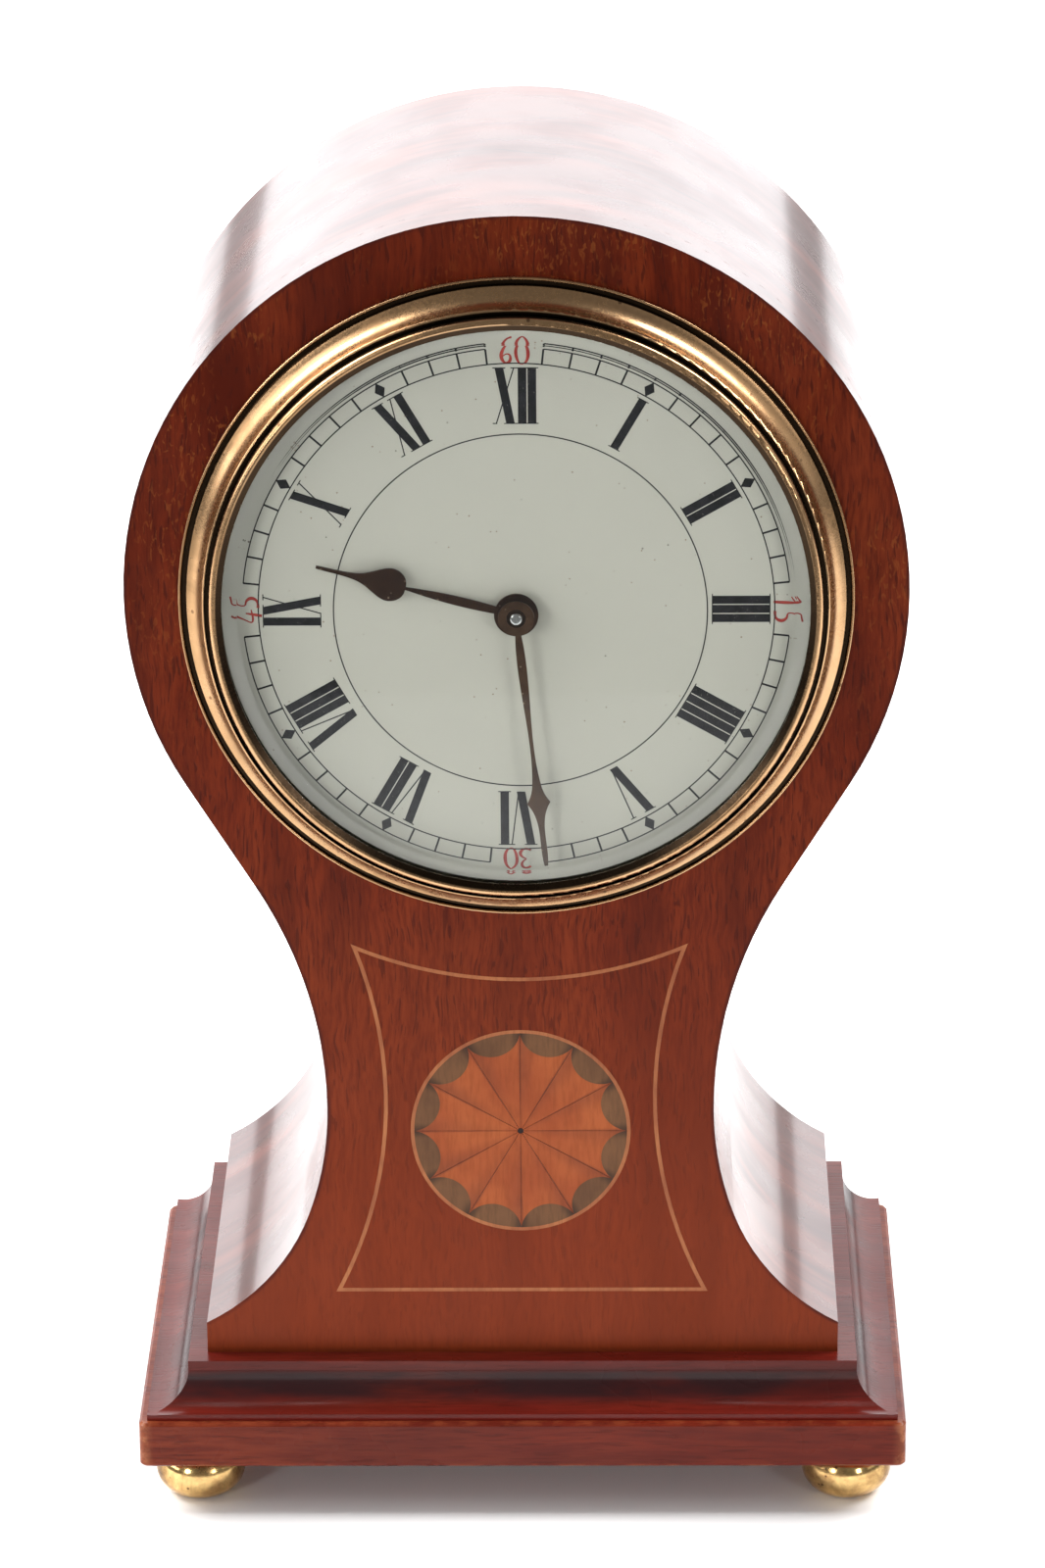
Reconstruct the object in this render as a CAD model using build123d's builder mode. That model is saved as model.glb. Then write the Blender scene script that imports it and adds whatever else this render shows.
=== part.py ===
from build123d import *
import os
from math import acos, atan2, cos, degrees, hypot, radians, sin, sqrt

# Waisted (balloon) mantel clock, in millimetres. +Z is up and the dial faces -Y.
# The origin is the middle of the footprint, on the surface that the feet stand on.

# ---- case, driving dimensions ----
slab_width = 140.0
slab_depth = 94.3
slab_height = 8.7
foot_height = 9.6
moulding_height = 9.1
moulding_top_width = 122.3
moulding_setback = 7.5
body_setback = 11.3
body_half_width = 57.8
head_radius = 68.9
head_rise = 147.7
waist_half_width = 34.9
waist_rise = 49.0
panel_thickness = 7.0
wall_thickness = 5.0
floor_height = 8.0
floor_half_width = 44.0
back_recess = 6.0
back_thickness = 5.0

# ---- dial and glass ----
dial_drop = 3.1
bezel_drop = 1.0
dial_radius = 52.4
dial_thickness = 1.2
dial_inset = 0.8
drum_hole_radius = 57.0
bezel_radius = 59.3
glass_radius = 53.3
minute_angle = 173.85
hour_angle = 270.0 + minute_angle / 12

# ---- inlay ----
inlay_depth = 0.8
patera_radius = 19.9
patera_rise = 44.45

# ---- levels, front to back ----
front_y = body_setback - slab_depth / 2
rear_y = slab_depth / 2
panel_back_y = front_y + panel_thickness
dial_front_y = front_y + dial_inset
dial_back_y = dial_front_y + dial_thickness
seat_back_y = panel_back_y + 1.2
plate_gap = 22.0
plate_thickness = 2.0
inner_y = seat_back_y + plate_thickness
rear_plate_y = inner_y + plate_gap
outer_y = rear_plate_y + plate_thickness
back_front_y = rear_y - back_recess - back_thickness
back_rear_y = rear_y - back_recess

# ---- heights ----
slab_top = foot_height + slab_height
body_bottom = slab_top + moulding_height
head_z = body_bottom + head_rise
dial_z = head_z - dial_drop
bezel_z = head_z - bezel_drop

# ---- movement layout, measured from the centre arbor, x to the right and z up ----
plate_radius = 34.0
pivot_radius = 0.45
pivot_hole_radius = 0.49
arbor_radius = 0.8


def facing(y):
    """A plane at depth y that faces the front, with x to the right and z up."""
    return Plane.XZ.offset(-y)


def on_axis(x, y, z):
    """The same plane, centred on a point beside the centre arbor."""
    return Plane(origin=(x, y, dial_z + z), x_dir=(1, 0, 0), z_dir=(0, -1, 0))


def along(start, distance, angle):
    return (start[0] + distance * cos(radians(angle)), start[1] + distance * sin(radians(angle)))


def turned(steps, x=0.0, z=0.0, bore=0.0):
    """A turned piece about a front-to-back axis: steps are (radius, front y, rear y)."""
    with BuildPart() as piece:
        for radius, front, rear in steps:
            with BuildSketch(on_axis(x, rear, z)):
                Circle(radius)
            extrude(amount=rear - front)
        if bore:
            front = min(step[1] for step in steps)
            rear = max(step[2] for step in steps)
            with BuildSketch(on_axis(x, rear, z)):
                Circle(bore)
            extrude(amount=rear - front, mode=Mode.SUBTRACT)
    return piece


def revolved(points, z):
    """A ring about the dial or bezel axis: points are (radius, distance in front of the case)."""
    profile_plane = Plane(origin=(0, front_y, z), x_dir=(1, 0, 0), z_dir=(0, 0, -1))
    with BuildPart() as piece:
        with BuildSketch(profile_plane):
            with BuildLine():
                Polyline(*points, close=True)
            make_face()
        revolve(axis=Axis((0, 0, z), (0, 1, 0)))
    return piece


# =========================== case outline ===========================
# Half of the outline, bottom to top: a short upright, two hollow arcs to the waist,
# a long hollow arc, a straight run and the round head.
foot_arc_radius = 40.0
low_arc_radius = 62.0
low_arc_angle = 20.0
neck_arc_radius = 84.0
upright_height = 6.0

low_centre = (waist_half_width + low_arc_radius, waist_rise)
foot_centre = along(low_centre, low_arc_radius - foot_arc_radius, 180 + low_arc_angle)
neck_centre = (waist_half_width + neck_arc_radius, waist_rise)
centre_gap = hypot(neck_centre[0], head_rise - waist_rise)
centre_slope = degrees(atan2(waist_rise - head_rise, neck_centre[0]))
neck_angle = centre_slope + degrees(acos((head_radius + neck_arc_radius) / centre_gap))


def case_face(inset, bottom):
    """The case outline moved inwards by inset, cut off level at height bottom."""
    foot_radius = foot_arc_radius + inset
    start_z = max(bottom, upright_height)
    start_x = foot_centre[0] - sqrt(foot_radius**2 - (foot_centre[1] - start_z) ** 2)
    start_angle = 360 + degrees(atan2(start_z - foot_centre[1], start_x - foot_centre[0]))
    with BuildSketch() as face:
        with BuildLine():
            Line((0, bottom), (start_x, bottom))
            if start_z > bottom:
                Line((start_x, bottom), (start_x, start_z))
            CenterArc(foot_centre, foot_radius, start_angle, 180 + low_arc_angle - start_angle)
            CenterArc(low_centre, low_arc_radius + inset, 180 + low_arc_angle, -low_arc_angle)
            neck = CenterArc(neck_centre, neck_arc_radius + inset, 180, neck_angle)
            head = CenterArc((0, head_rise), head_radius - inset, neck_angle, 90 - neck_angle)
            Line(neck @ 1, head @ 0)
            mirror(about=Plane.YZ)
        make_face()
    return face.sketch


def case_plane(y):
    return Plane(origin=(0, y, body_bottom), x_dir=(1, 0, 0), z_dir=(0, -1, 0))


outer_face = case_face(0, 0)
inner_face = case_face(wall_thickness, floor_height)
back_face = case_face(wall_thickness + 0.05, floor_height)


# =========================== base and plinth ===========================
screw_spots = [(sx * 59.5, sy * 36.65) for sx in (-1, 1) for sy in (-1, 1)]

with BuildPart() as base_slab:
    with BuildSketch(Plane.XY.offset(foot_height)):
        Rectangle(slab_width, slab_depth)
    extrude(amount=slab_height)
    fillet(base_slab.edges().filter_by(Axis.Z), radius=1.6)
    chamfer(base_slab.faces().sort_by(Axis.Z)[-1].edges(), length=0.5)
    chamfer(base_slab.faces().sort_by(Axis.Z)[0].edges(), length=0.4)
    with BuildSketch(Plane.XY.offset(foot_height)):
        with Locations(*screw_spots):
            Circle(1.3)
    extrude(amount=6.5, mode=Mode.SUBTRACT)


def cove(toe, top, sign):
    """Toe, hollow and top list of the moulding on one side, in a sketch with heights from the slab."""
    low = (sign * toe, 1.2)
    high = (sign * top, moulding_height - 1.8)
    middle = ((low[0] + high[0]) / 2 - sign * 1.45, (low[1] + high[1]) / 2 - 1.75)
    Line((sign * toe, 0), low)
    ThreePointArc(low, middle, high)
    Line(high, (sign * top, moulding_height))


toe_half_width = slab_width / 2 - 1.5
top_half_width = moulding_top_width / 2
with BuildPart() as plinth_moulding:
    with BuildSketch(Plane(origin=(0, rear_y, slab_top), x_dir=(1, 0, 0), z_dir=(0, -1, 0))):
        with BuildLine():
            cove(toe_half_width, top_half_width, -1)
            cove(toe_half_width, top_half_width, 1)
            Line((-toe_half_width, 0), (toe_half_width, 0))
            Line((-top_half_width, moulding_height), (top_half_width, moulding_height))
        make_face()
    extrude(amount=slab_depth - 1.5)
    with BuildSketch(Plane(origin=(-slab_width / 2, 0, slab_top), x_dir=(0, 1, 0), z_dir=(1, 0, 0))):
        with BuildLine():
            cove(slab_depth / 2 - 1.5, slab_depth / 2 - moulding_setback, -1)
            Line((1.5 - slab_depth / 2, 0), (rear_y, 0))
            Line((rear_y, 0), (rear_y, moulding_height))
            Line((rear_y, moulding_height), (moulding_setback - slab_depth / 2, moulding_height))
        make_face()
    extrude(amount=slab_width, mode=Mode.INTERSECT)

with BuildPart() as foot:
    with BuildSketch(Plane.XZ):
        with BuildLine():
            Polyline((5.5, foot_height), (1.35, foot_height), (1.35, 2.4), (2.9, 2.4), (2.9, 0), (3.6, 0))
            ThreePointArc((3.6, 0), (8.2, 5.2), (5.5, foot_height))
        make_face()
    revolve(axis=Axis.Z)

with BuildPart() as bun_feet:
    with Locations(*[(x, y, 0) for x, y in screw_spots]):
        add(foot.part)

with BuildPart() as foot_screws:
    with BuildSketch(Plane.XY.offset(0.9)):
        with Locations(*screw_spots):
            Circle(2.7)
    extrude(amount=1.5)
    with BuildSketch(Plane.XY.offset(2.4)):
        with Locations(*screw_spots):
            Circle(1.25)
    extrude(amount=13.0)

# =========================== case body ===========================
seat_screw_radius = 60.0
seat_screw_spots = [along((0, head_rise), seat_screw_radius, angle) for angle in (20, 90, 160, 270)]
panel_corner = (30.2, 81.2)
panel_foot = (33.9, 12.3)


def stringing_face(inset):
    """The stringing's panel: hollow top and sides, straight foot."""
    with BuildSketch() as face:
        with BuildLine():
            Line((-panel_foot[0], panel_foot[1]), panel_foot)
            ThreePointArc(panel_foot, (24.75, 46.5), panel_corner)
            ThreePointArc(panel_corner, (0, 74.6), (-panel_corner[0], panel_corner[1]))
            ThreePointArc((-panel_corner[0], panel_corner[1]), (-24.75, 46.5), (-panel_foot[0], panel_foot[1]))
        make_face()
        offset(amount=-inset, kind=Kind.INTERSECTION, mode=Mode.SUBTRACT)
    return face.sketch


line_face = stringing_face(0.7)


with BuildPart() as front_panel:
    with BuildSketch(case_plane(panel_back_y)):
        add(outer_face)
        with Locations((0, head_rise - bezel_drop)):
            Circle(drum_hole_radius, mode=Mode.SUBTRACT)
    extrude(amount=panel_thickness)
    with BuildSketch(case_plane(front_y)):
        add(line_face)
        with Locations((0, patera_rise)):
            Circle(patera_radius)
    extrude(amount=-inlay_depth, mode=Mode.SUBTRACT)
    with BuildSketch(case_plane(panel_back_y)):
        with Locations(*seat_screw_spots):
            Circle(0.85)
    extrude(amount=4.6, mode=Mode.SUBTRACT)

with BuildPart() as side_wrap:
    with BuildSketch(case_plane(rear_y)):
        add(outer_face)
    extrude(amount=rear_y - panel_back_y)
    with BuildSketch(case_plane(rear_y)):
        add(inner_face)
    extrude(amount=rear_y - panel_back_y, mode=Mode.SUBTRACT)
    with BuildSketch(case_plane(rear_y)):
        with Locations((0, floor_height / 2)):
            Rectangle(2 * floor_half_width, floor_height)
    extrude(amount=rear_y - panel_back_y, mode=Mode.SUBTRACT)

with BuildPart() as case_floor:
    with BuildSketch(case_plane(rear_y)):
        with Locations((0, floor_height / 2)):
            Rectangle(2 * floor_half_width, floor_height)
    extrude(amount=rear_y - panel_back_y)

door_hole_radius = 42.0
back_screw_spots = [along((0, head_rise), 60.0, angle) for angle in (-20, 35, 90, 145, 200)]
back_screw_spots += [(sign * 36.0, 13.0) for sign in (-1, 1)]

with BuildPart() as back_board:
    with BuildSketch(case_plane(back_rear_y)):
        add(back_face)
        with Locations((0, head_rise)):
            Circle(door_hole_radius, mode=Mode.SUBTRACT)
        with Locations(*back_screw_spots):
            Circle(1.05, mode=Mode.SUBTRACT)
    extrude(amount=back_thickness)

with BuildPart() as back_screws:
    with BuildSketch(case_plane(back_rear_y)):
        with Locations(*back_screw_spots):
            Circle(1.0)
    extrude(amount=back_thickness)
    with BuildSketch(case_plane(back_rear_y)):
        with Locations(*back_screw_spots):
            Circle(2.1)
            Rectangle(5, 0.6, mode=Mode.SUBTRACT)
    extrude(amount=-0.8)

# =========================== inlay ===========================
with BuildPart() as inlay_line:
    with BuildSketch(case_plane(front_y + inlay_depth)):
        add(line_face)
    extrude(amount=inlay_depth)

ring_inner_radius = patera_radius - 0.65
scallop_depth = 4.0
dot_radius = 0.55
petal_count = 12
glue_line = 0.06
petal_step = 360 / petal_count


def petal_face():
    """One wedge of the fan, with a hollow end and a hairline glue joint down each side."""
    left = along((0, 0), ring_inner_radius, 90 + petal_step / 2)
    right = along((0, 0), ring_inner_radius, 90 - petal_step / 2)
    with BuildSketch() as face:
        with BuildLine():
            Line((0, 0), left)
            ThreePointArc(left, (0, ring_inner_radius - scallop_depth), right)
            Line(right, (0, 0))
        make_face()
        Circle(dot_radius, mode=Mode.SUBTRACT)
        with BuildLine():
            Line((0, 0), left)
        trace(line_width=glue_line, mode=Mode.SUBTRACT)
        with BuildLine():
            Line((0, 0), right)
        trace(line_width=glue_line, mode=Mode.SUBTRACT)
    return face.sketch


def lunette_face():
    left = along((0, 0), ring_inner_radius, 90 + petal_step / 2)
    right = along((0, 0), ring_inner_radius, 90 - petal_step / 2)
    with BuildSketch() as face:
        with BuildLine():
            ThreePointArc(left, (0, ring_inner_radius - scallop_depth), right)
            ThreePointArc(right, (0, ring_inner_radius), left)
        make_face()
    return face.sketch


def around_patera(face):
    """Twelve copies of a face round the patera, as separate solids in the inlay's pocket."""
    with BuildPart() as piece:
        for index in range(petal_count):
            turn = index * petal_step + petal_step / 2
            plane = Plane(
                origin=(0, front_y + inlay_depth, body_bottom + patera_rise),
                x_dir=(cos(radians(turn)), 0, sin(radians(turn))),
                z_dir=(0, -1, 0),
            )
            with BuildSketch(plane):
                add(face)
            extrude(amount=inlay_depth)
    return piece


patera_plane = Plane(
    origin=(0, front_y + inlay_depth, body_bottom + patera_rise), x_dir=(1, 0, 0), z_dir=(0, -1, 0)
)
with BuildPart() as inlay_ring:
    with BuildSketch(patera_plane):
        Circle(patera_radius)
        Circle(ring_inner_radius, mode=Mode.SUBTRACT)
    extrude(amount=inlay_depth)

with BuildPart() as inlay_dot:
    with BuildSketch(patera_plane):
        Circle(dot_radius - glue_line / 2)
    extrude(amount=inlay_depth)

inlay_lunettes = around_patera(lunette_face())
inlay_petals = around_patera(petal_face())

# =========================== bezel, glass and dial ===========================
# The bezel's section, as radius and distance in front of the case: a thin rim, a groove,
# a hollow band rising to a rounded shoulder, a bead between two grooves, and the lip.
tube_radius = 56.6
tube_inner_radius = 55.5
glass_back = 4.5
glass_front = 6.45
bevel_radius = 49.0
lip_radius = 51.4

bezel_plane = Plane(origin=(0, front_y, bezel_z), x_dir=(1, 0, 0), z_dir=(0, 0, -1))
with BuildPart() as bezel:
    with BuildSketch(bezel_plane):
        with BuildLine():
            Polyline((tube_radius, 0), (bezel_radius, 0), (bezel_radius, 0.9))
            ThreePointArc((bezel_radius, 0.9), (59.05, 1.1), (58.8, 0.9))
            Polyline((58.8, 0.9), (58.65, 0.35), (57.95, 0.35), (57.8, 1.2))
            ThreePointArc((57.8, 1.2), (56.0, 2.5), (54.95, 4.9))
            ThreePointArc((54.95, 4.9), (54.8, 5.35), (54.5, 5.5))
            Polyline((54.5, 5.5), (54.4, 4.3), (53.8, 4.3), (53.65, 6.1))
            ThreePointArc((53.65, 6.1), (53.15, 6.95), (52.5, 6.95))
            Polyline(
                (52.5, 6.95),
                (lip_radius, 6.4),
                (lip_radius, 6.0),
                (glass_radius + 0.1, 5.6),
                (glass_radius + 0.1, 3.2),
                (54.4, 2.6),
                (tube_inner_radius, 1.4),
                (tube_inner_radius, -4.0),
                (tube_radius, -4.0),
                (tube_radius, 0),
            )
        make_face()
    revolve(axis=Axis((0, 0, bezel_z), (0, 1, 0)))

crystal = revolved(
    [
        (0, glass_back),
        (glass_radius, glass_back),
        (glass_radius, 5.3),
        (bevel_radius, glass_front - 0.05),
        (bevel_radius - 0.3, glass_front),
        (0, glass_front),
    ],
    bezel_z,
)
crystal_ring = revolved(
    [(glass_radius, 3.4), (glass_radius, 4.45), (51.6, 4.45), (51.3, 4.1), (51.3, 3.4)], bezel_z
)

dial_feet_spots = [along((0, 0), 42.0, angle) for angle in (90, 210, 330)]
with BuildPart() as dial:
    with BuildSketch(on_axis(0, dial_back_y, 0)):
        Circle(dial_radius)
        Circle(3.2, mode=Mode.SUBTRACT)
    extrude(amount=dial_thickness)
    fillet(dial.edges().group_by(Axis.Y)[0].sort_by(SortBy.LENGTH)[-1], radius=0.5)

with BuildPart() as dial_feet:
    with BuildSketch(on_axis(0, seat_back_y + 0.6, 0)):
        with Locations(*dial_feet_spots):
            Circle(0.8)
    extrude(amount=seat_back_y + 0.6 - dial_back_y)

# =========================== hands ===========================
hour_hand_y = dial_front_y - 2.1
minute_hand_y = dial_front_y - 3.9
hand_thickness = 0.4
boss_radius = 3.9
minute_boss_radius = 3.2
hour_pipe_radius = 2.6
cannon_pipe_radius = 1.7


def hand_plane(y, angle):
    """A plane whose own y axis points where the hand points, clockwise from twelve."""
    return Plane(
        origin=(0, y, dial_z), x_dir=(cos(radians(angle)), 0, -sin(radians(angle))), z_dir=(0, -1, 0)
    )


with BuildPart() as hour_hand:
    with BuildSketch(hand_plane(hour_hand_y, hour_angle)):
        with BuildLine():
            Spline((0.6, 3.0), (0.83, 9.5), (0.25, 19.6))
            Spline((0.25, 19.6), (0.25, 20.0))
            Line((0.25, 20.0), (0, 20.0))
            Line((0, 20.0), (0, 3.0))
            Line((0, 3.0), (0.6, 3.0))
        make_face()
        with BuildLine():
            Spline((0.25, 20.0), (1.9, 20.5), (3.0, 22.7), (2.2, 25.2), (0.95, 27.7), (0.4, 30.8), (0.24, 36.1))
            Polyline((0.24, 36.1), (0, 36.1), (0, 20.0), (0.25, 20.0))
        make_face()
        mirror(about=Plane.YZ)
        Circle(boss_radius)
        Circle(hour_pipe_radius + 0.01, mode=Mode.SUBTRACT)
    extrude(amount=hand_thickness)
    with BuildSketch(on_axis(0, hour_hand_y, 0)):
        Circle(boss_radius - 0.5)
        Circle(hour_pipe_radius + 0.01, mode=Mode.SUBTRACT)
    extrude(amount=-0.8)

with BuildPart() as minute_hand:
    with BuildSketch(hand_plane(minute_hand_y, minute_angle)):
        with BuildLine():
            Spline((0.52, 3.0), (0.42, 20.0), (0.58, 29.8), (0.85, 32.0))
            Spline((0.85, 32.0), (1.25, 33.4), (2.05, 34.9))
            Spline((2.05, 34.9), (1.0, 37.0), (0.5, 40.5), (0.3, 46.9))
            Polyline((0.3, 46.9), (0, 46.9), (0, 3.0), (0.52, 3.0))
        make_face()
        mirror(about=Plane.YZ)
        Circle(minute_boss_radius)
        Circle(cannon_pipe_radius + 0.01, mode=Mode.SUBTRACT)
    extrude(amount=hand_thickness)
    with BuildSketch(on_axis(0, minute_hand_y, 0)):
        Circle(minute_boss_radius - 0.6)
        Circle(cannon_pipe_radius + 0.01, mode=Mode.SUBTRACT)
    extrude(amount=-0.5)

# =========================== gears ===========================


def tooth_outline(teeth, module, addendum, dedendum, fill):
    """Points round a gear whose first tooth stands on the x axis. fill is the tooth's share of the pitch."""
    pitch = teeth * module / 2
    step = 360 / teeth
    half = fill * step / 2
    root = pitch - dedendum * module
    tip = pitch + addendum * module
    shape = [
        (-half, root),
        (-half, pitch),
        (-half * 0.72, pitch + 0.55 * addendum * module),
        (-half * 0.25, tip),
        (half * 0.25, tip),
        (half * 0.72, pitch + 0.55 * addendum * module),
        (half, pitch),
        (half, root),
    ]
    return [along((0, 0), radius, i * step + turn) for i in range(teeth) for turn, radius in shape]


def gear(spot, teeth, module, front, rear, phase, bore, spokes=0, pinion=False):
    """A wheel or a pinion about a front-to-back axis. phase is where its first tooth points."""
    if pinion:
        points = tooth_outline(teeth, module, 0.55, 1.45, 0.36)
    else:
        points = tooth_outline(teeth, module, 1.05, 1.3, 0.46)
    rim = teeth * module / 2 - 3.3 * module
    hub = bore + 1.1
    plane = Plane(
        origin=(spot[0], rear, dial_z + spot[1]),
        x_dir=(cos(radians(phase)), 0, sin(radians(phase))),
        z_dir=(0, -1, 0),
    )
    with BuildPart() as piece:
        with BuildSketch(plane):
            with BuildLine():
                Polyline(*points, close=True)
            make_face()
            if spokes:
                Circle(rim, mode=Mode.SUBTRACT)
                Circle(hub)
                with PolarLocations(0, spokes):
                    with Locations((rim / 2, 0)):
                        Rectangle(rim + 1.0, 1.0)
            Circle(bore, mode=Mode.SUBTRACT)
        extrude(amount=rear - front)
    return piece


def direction(start, end):
    return degrees(atan2(end[1] - start[1], end[0] - start[0]))


def space_phase(teeth, angle):
    """Phase that puts a space between two teeth at the given direction."""
    return angle + 180 / teeth


# teeth and modules, wheel then pinion, in the order of the train
great_teeth, intermediate_leaves, great_module = 72, 12, 0.42
intermediate_teeth, centre_leaves, intermediate_module = 64, 8, 0.34
centre_teeth, third_leaves, centre_module = 64, 8, 0.32
third_teeth, fourth_leaves, third_module = 60, 8, 0.28
fourth_teeth, escape_leaves, fourth_module = 60, 6, 0.24
cannon_leaves, minute_teeth, cannon_module = 12, 36, 0.30
minute_leaves, hour_teeth, hour_module = 10, 40, 0.288


def gear_distance(first, second, module):
    return (first + second) * module / 2


barrel_distance = 18.0
great_distance = gear_distance(great_teeth, intermediate_leaves, great_module)
intermediate_distance = gear_distance(intermediate_teeth, centre_leaves, intermediate_module)
barrel_turn = degrees(
    acos(
        (barrel_distance**2 + intermediate_distance**2 - great_distance**2)
        / (2 * barrel_distance * intermediate_distance)
    )
)

centre_spot = (0.0, 0.0)
barrel_spot = (0.0, -barrel_distance)
intermediate_spot = along(centre_spot, intermediate_distance, -90 - barrel_turn)
third_spot = along(centre_spot, gear_distance(centre_teeth, third_leaves, centre_module), 50)
fourth_spot = along(third_spot, gear_distance(third_teeth, fourth_leaves, third_module), 160)
escape_spot = along(fourth_spot, gear_distance(fourth_teeth, escape_leaves, fourth_module), 100)
minute_spot = along(centre_spot, gear_distance(cannon_leaves, minute_teeth, cannon_module), 20)
lever_angle = -12.0
lever_spot = along(escape_spot, 5.6, lever_angle)
balance_spot = along(lever_spot, 6.6, lever_angle)

# =========================== hands' gearing, behind the dial ===========================
cannon_front_y = minute_hand_y - hand_thickness
cannon_teeth_front_y = dial_back_y + 4.2
cannon_teeth_rear_y = dial_back_y + 5.8

with BuildPart() as cannon_pinion:
    add(
        gear(
            centre_spot,
            cannon_leaves,
            cannon_module,
            cannon_teeth_front_y,
            cannon_teeth_rear_y,
            space_phase(cannon_leaves, direction(centre_spot, minute_spot)),
            0.92,
            pinion=True,
        ).part
    )
    add(turned([(cannon_pipe_radius, cannon_front_y, cannon_teeth_front_y)], bore=0.92).part)

with BuildPart() as minute_wheel:
    add(
        gear(
            minute_spot,
            minute_teeth,
            cannon_module,
            cannon_teeth_front_y + 0.2,
            cannon_teeth_rear_y - 0.2,
            direction(minute_spot, centre_spot),
            0.85,
            spokes=4,
        ).part
    )
    add(
        gear(
            minute_spot,
            minute_leaves,
            hour_module,
            cannon_teeth_front_y - 2.0,
            cannon_teeth_front_y + 0.2,
            space_phase(minute_leaves, direction(minute_spot, centre_spot)),
            0.85,
            pinion=True,
        ).part
    )

with BuildPart() as hour_wheel:
    add(
        gear(
            centre_spot,
            hour_teeth,
            hour_module,
            cannon_teeth_front_y - 1.5,
            cannon_teeth_front_y - 0.5,
            direction(centre_spot, minute_spot),
            cannon_pipe_radius + 0.06,
        ).part
    )
    add(
        turned(
            [(hour_pipe_radius, hour_hand_y - hand_thickness, cannon_teeth_front_y - 1.5)],
            bore=cannon_pipe_radius + 0.06,
        ).part
    )

# =========================== plates ===========================
pillar_spots = [along((0, 0), 30.0, angle) for angle in (45, 135, 225, 315)]
seat_hole_radius = 20.0
click_spot = along(barrel_spot, 9.6, 150)
click_spring_spot = along(barrel_spot, 15.0, 176)
cock_foot_spot = (0.6, 26.6)
balance_foot_spot = along(balance_spot, 11.6, -32)

with BuildPart() as seat_ring:
    with BuildSketch(facing(seat_back_y)):
        with Locations((0, head_z)):
            Circle(62.6)
        with Locations((0, dial_z)):
            Circle(seat_hole_radius, mode=Mode.SUBTRACT)
        with Locations(*[(x, dial_z + z) for x, z in pillar_spots]):
            Circle(1.25, mode=Mode.SUBTRACT)
        with Locations(*[(x, dial_z + z) for x, z in dial_feet_spots]):
            Circle(0.85, mode=Mode.SUBTRACT)
        with Locations(*[(x, body_bottom + z) for x, z in seat_screw_spots]):
            Circle(0.85, mode=Mode.SUBTRACT)
    extrude(amount=seat_back_y - panel_back_y)

with BuildPart() as seat_screws:
    with BuildSketch(case_plane(seat_back_y)):
        with Locations(*seat_screw_spots):
            Circle(0.8)
    extrude(amount=5.4)
    with BuildSketch(case_plane(seat_back_y)):
        with Locations(*seat_screw_spots):
            Circle(1.7)
            Rectangle(4, 0.4, mode=Mode.SUBTRACT)
    extrude(amount=-0.8)

train_spots = [intermediate_spot, third_spot, fourth_spot]
with BuildPart() as front_plate:
    with BuildSketch(on_axis(0, inner_y, 0)):
        Circle(plate_radius)
        Circle(1.05, mode=Mode.SUBTRACT)
        with Locations(barrel_spot):
            Circle(2.04, mode=Mode.SUBTRACT)
        with Locations(*train_spots, escape_spot):
            Circle(pivot_hole_radius, mode=Mode.SUBTRACT)
        with Locations(*pillar_spots):
            Circle(1.25, mode=Mode.SUBTRACT)
    extrude(amount=plate_thickness)
    with BuildSketch(on_axis(minute_spot[0], seat_back_y, minute_spot[1])):
        Circle(0.8)
    extrude(amount=seat_back_y - cannon_teeth_front_y + 2.3)
    with BuildSketch(on_axis(minute_spot[0], seat_back_y, minute_spot[1])):
        Circle(1.6)
    extrude(amount=seat_back_y - cannon_teeth_rear_y)

with BuildPart() as rear_plate:
    with BuildSketch(on_axis(0, outer_y, 0)):
        Circle(plate_radius)
        Circle(1.05, mode=Mode.SUBTRACT)
        with Locations(barrel_spot):
            Circle(2.54, mode=Mode.SUBTRACT)
        with Locations(*train_spots, lever_spot, balance_spot):
            Circle(pivot_hole_radius, mode=Mode.SUBTRACT)
        with Locations(escape_spot):
            Circle(1.3, mode=Mode.SUBTRACT)
        with Locations(*pillar_spots):
            Circle(1.25, mode=Mode.SUBTRACT)
    extrude(amount=plate_thickness)

with BuildPart() as pillars:
    with BuildSketch(on_axis(0, rear_plate_y, 0)):
        with Locations(*pillar_spots):
            Circle(2.6)
            Circle(1.25, mode=Mode.SUBTRACT)
    extrude(amount=plate_gap)
    with BuildSketch(on_axis(0, rear_plate_y - 2.5, 0)):
        with Locations(*pillar_spots):
            Circle(3.2)
            Circle(1.25, mode=Mode.SUBTRACT)
    extrude(amount=1.2)
    with BuildSketch(on_axis(0, inner_y + 3.7, 0)):
        with Locations(*pillar_spots):
            Circle(3.2)
            Circle(1.25, mode=Mode.SUBTRACT)
    extrude(amount=1.2)

with BuildPart() as plate_screws:
    for start, head_length, shank_length in ((outer_y, 1.3, 7.0), (panel_back_y, -1.2, -8.0)):
        with BuildSketch(on_axis(0, start, 0)):
            with Locations(*pillar_spots):
                Circle(1.2)
        extrude(amount=shank_length)
        with BuildSketch(on_axis(0, start, 0)):
            with Locations(*pillar_spots):
                Circle(2.3)
                Rectangle(5, 0.5, mode=Mode.SUBTRACT)
        extrude(amount=-head_length)

# =========================== mainspring barrel ===========================
barrel_front_y = inner_y + 2.0
drum_radius = 14.0
drum_inner_radius = 13.2
drum_rear_y = inner_y + 13.8
barrel_hole_radius = 3.05
spring_coils = 7

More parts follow.
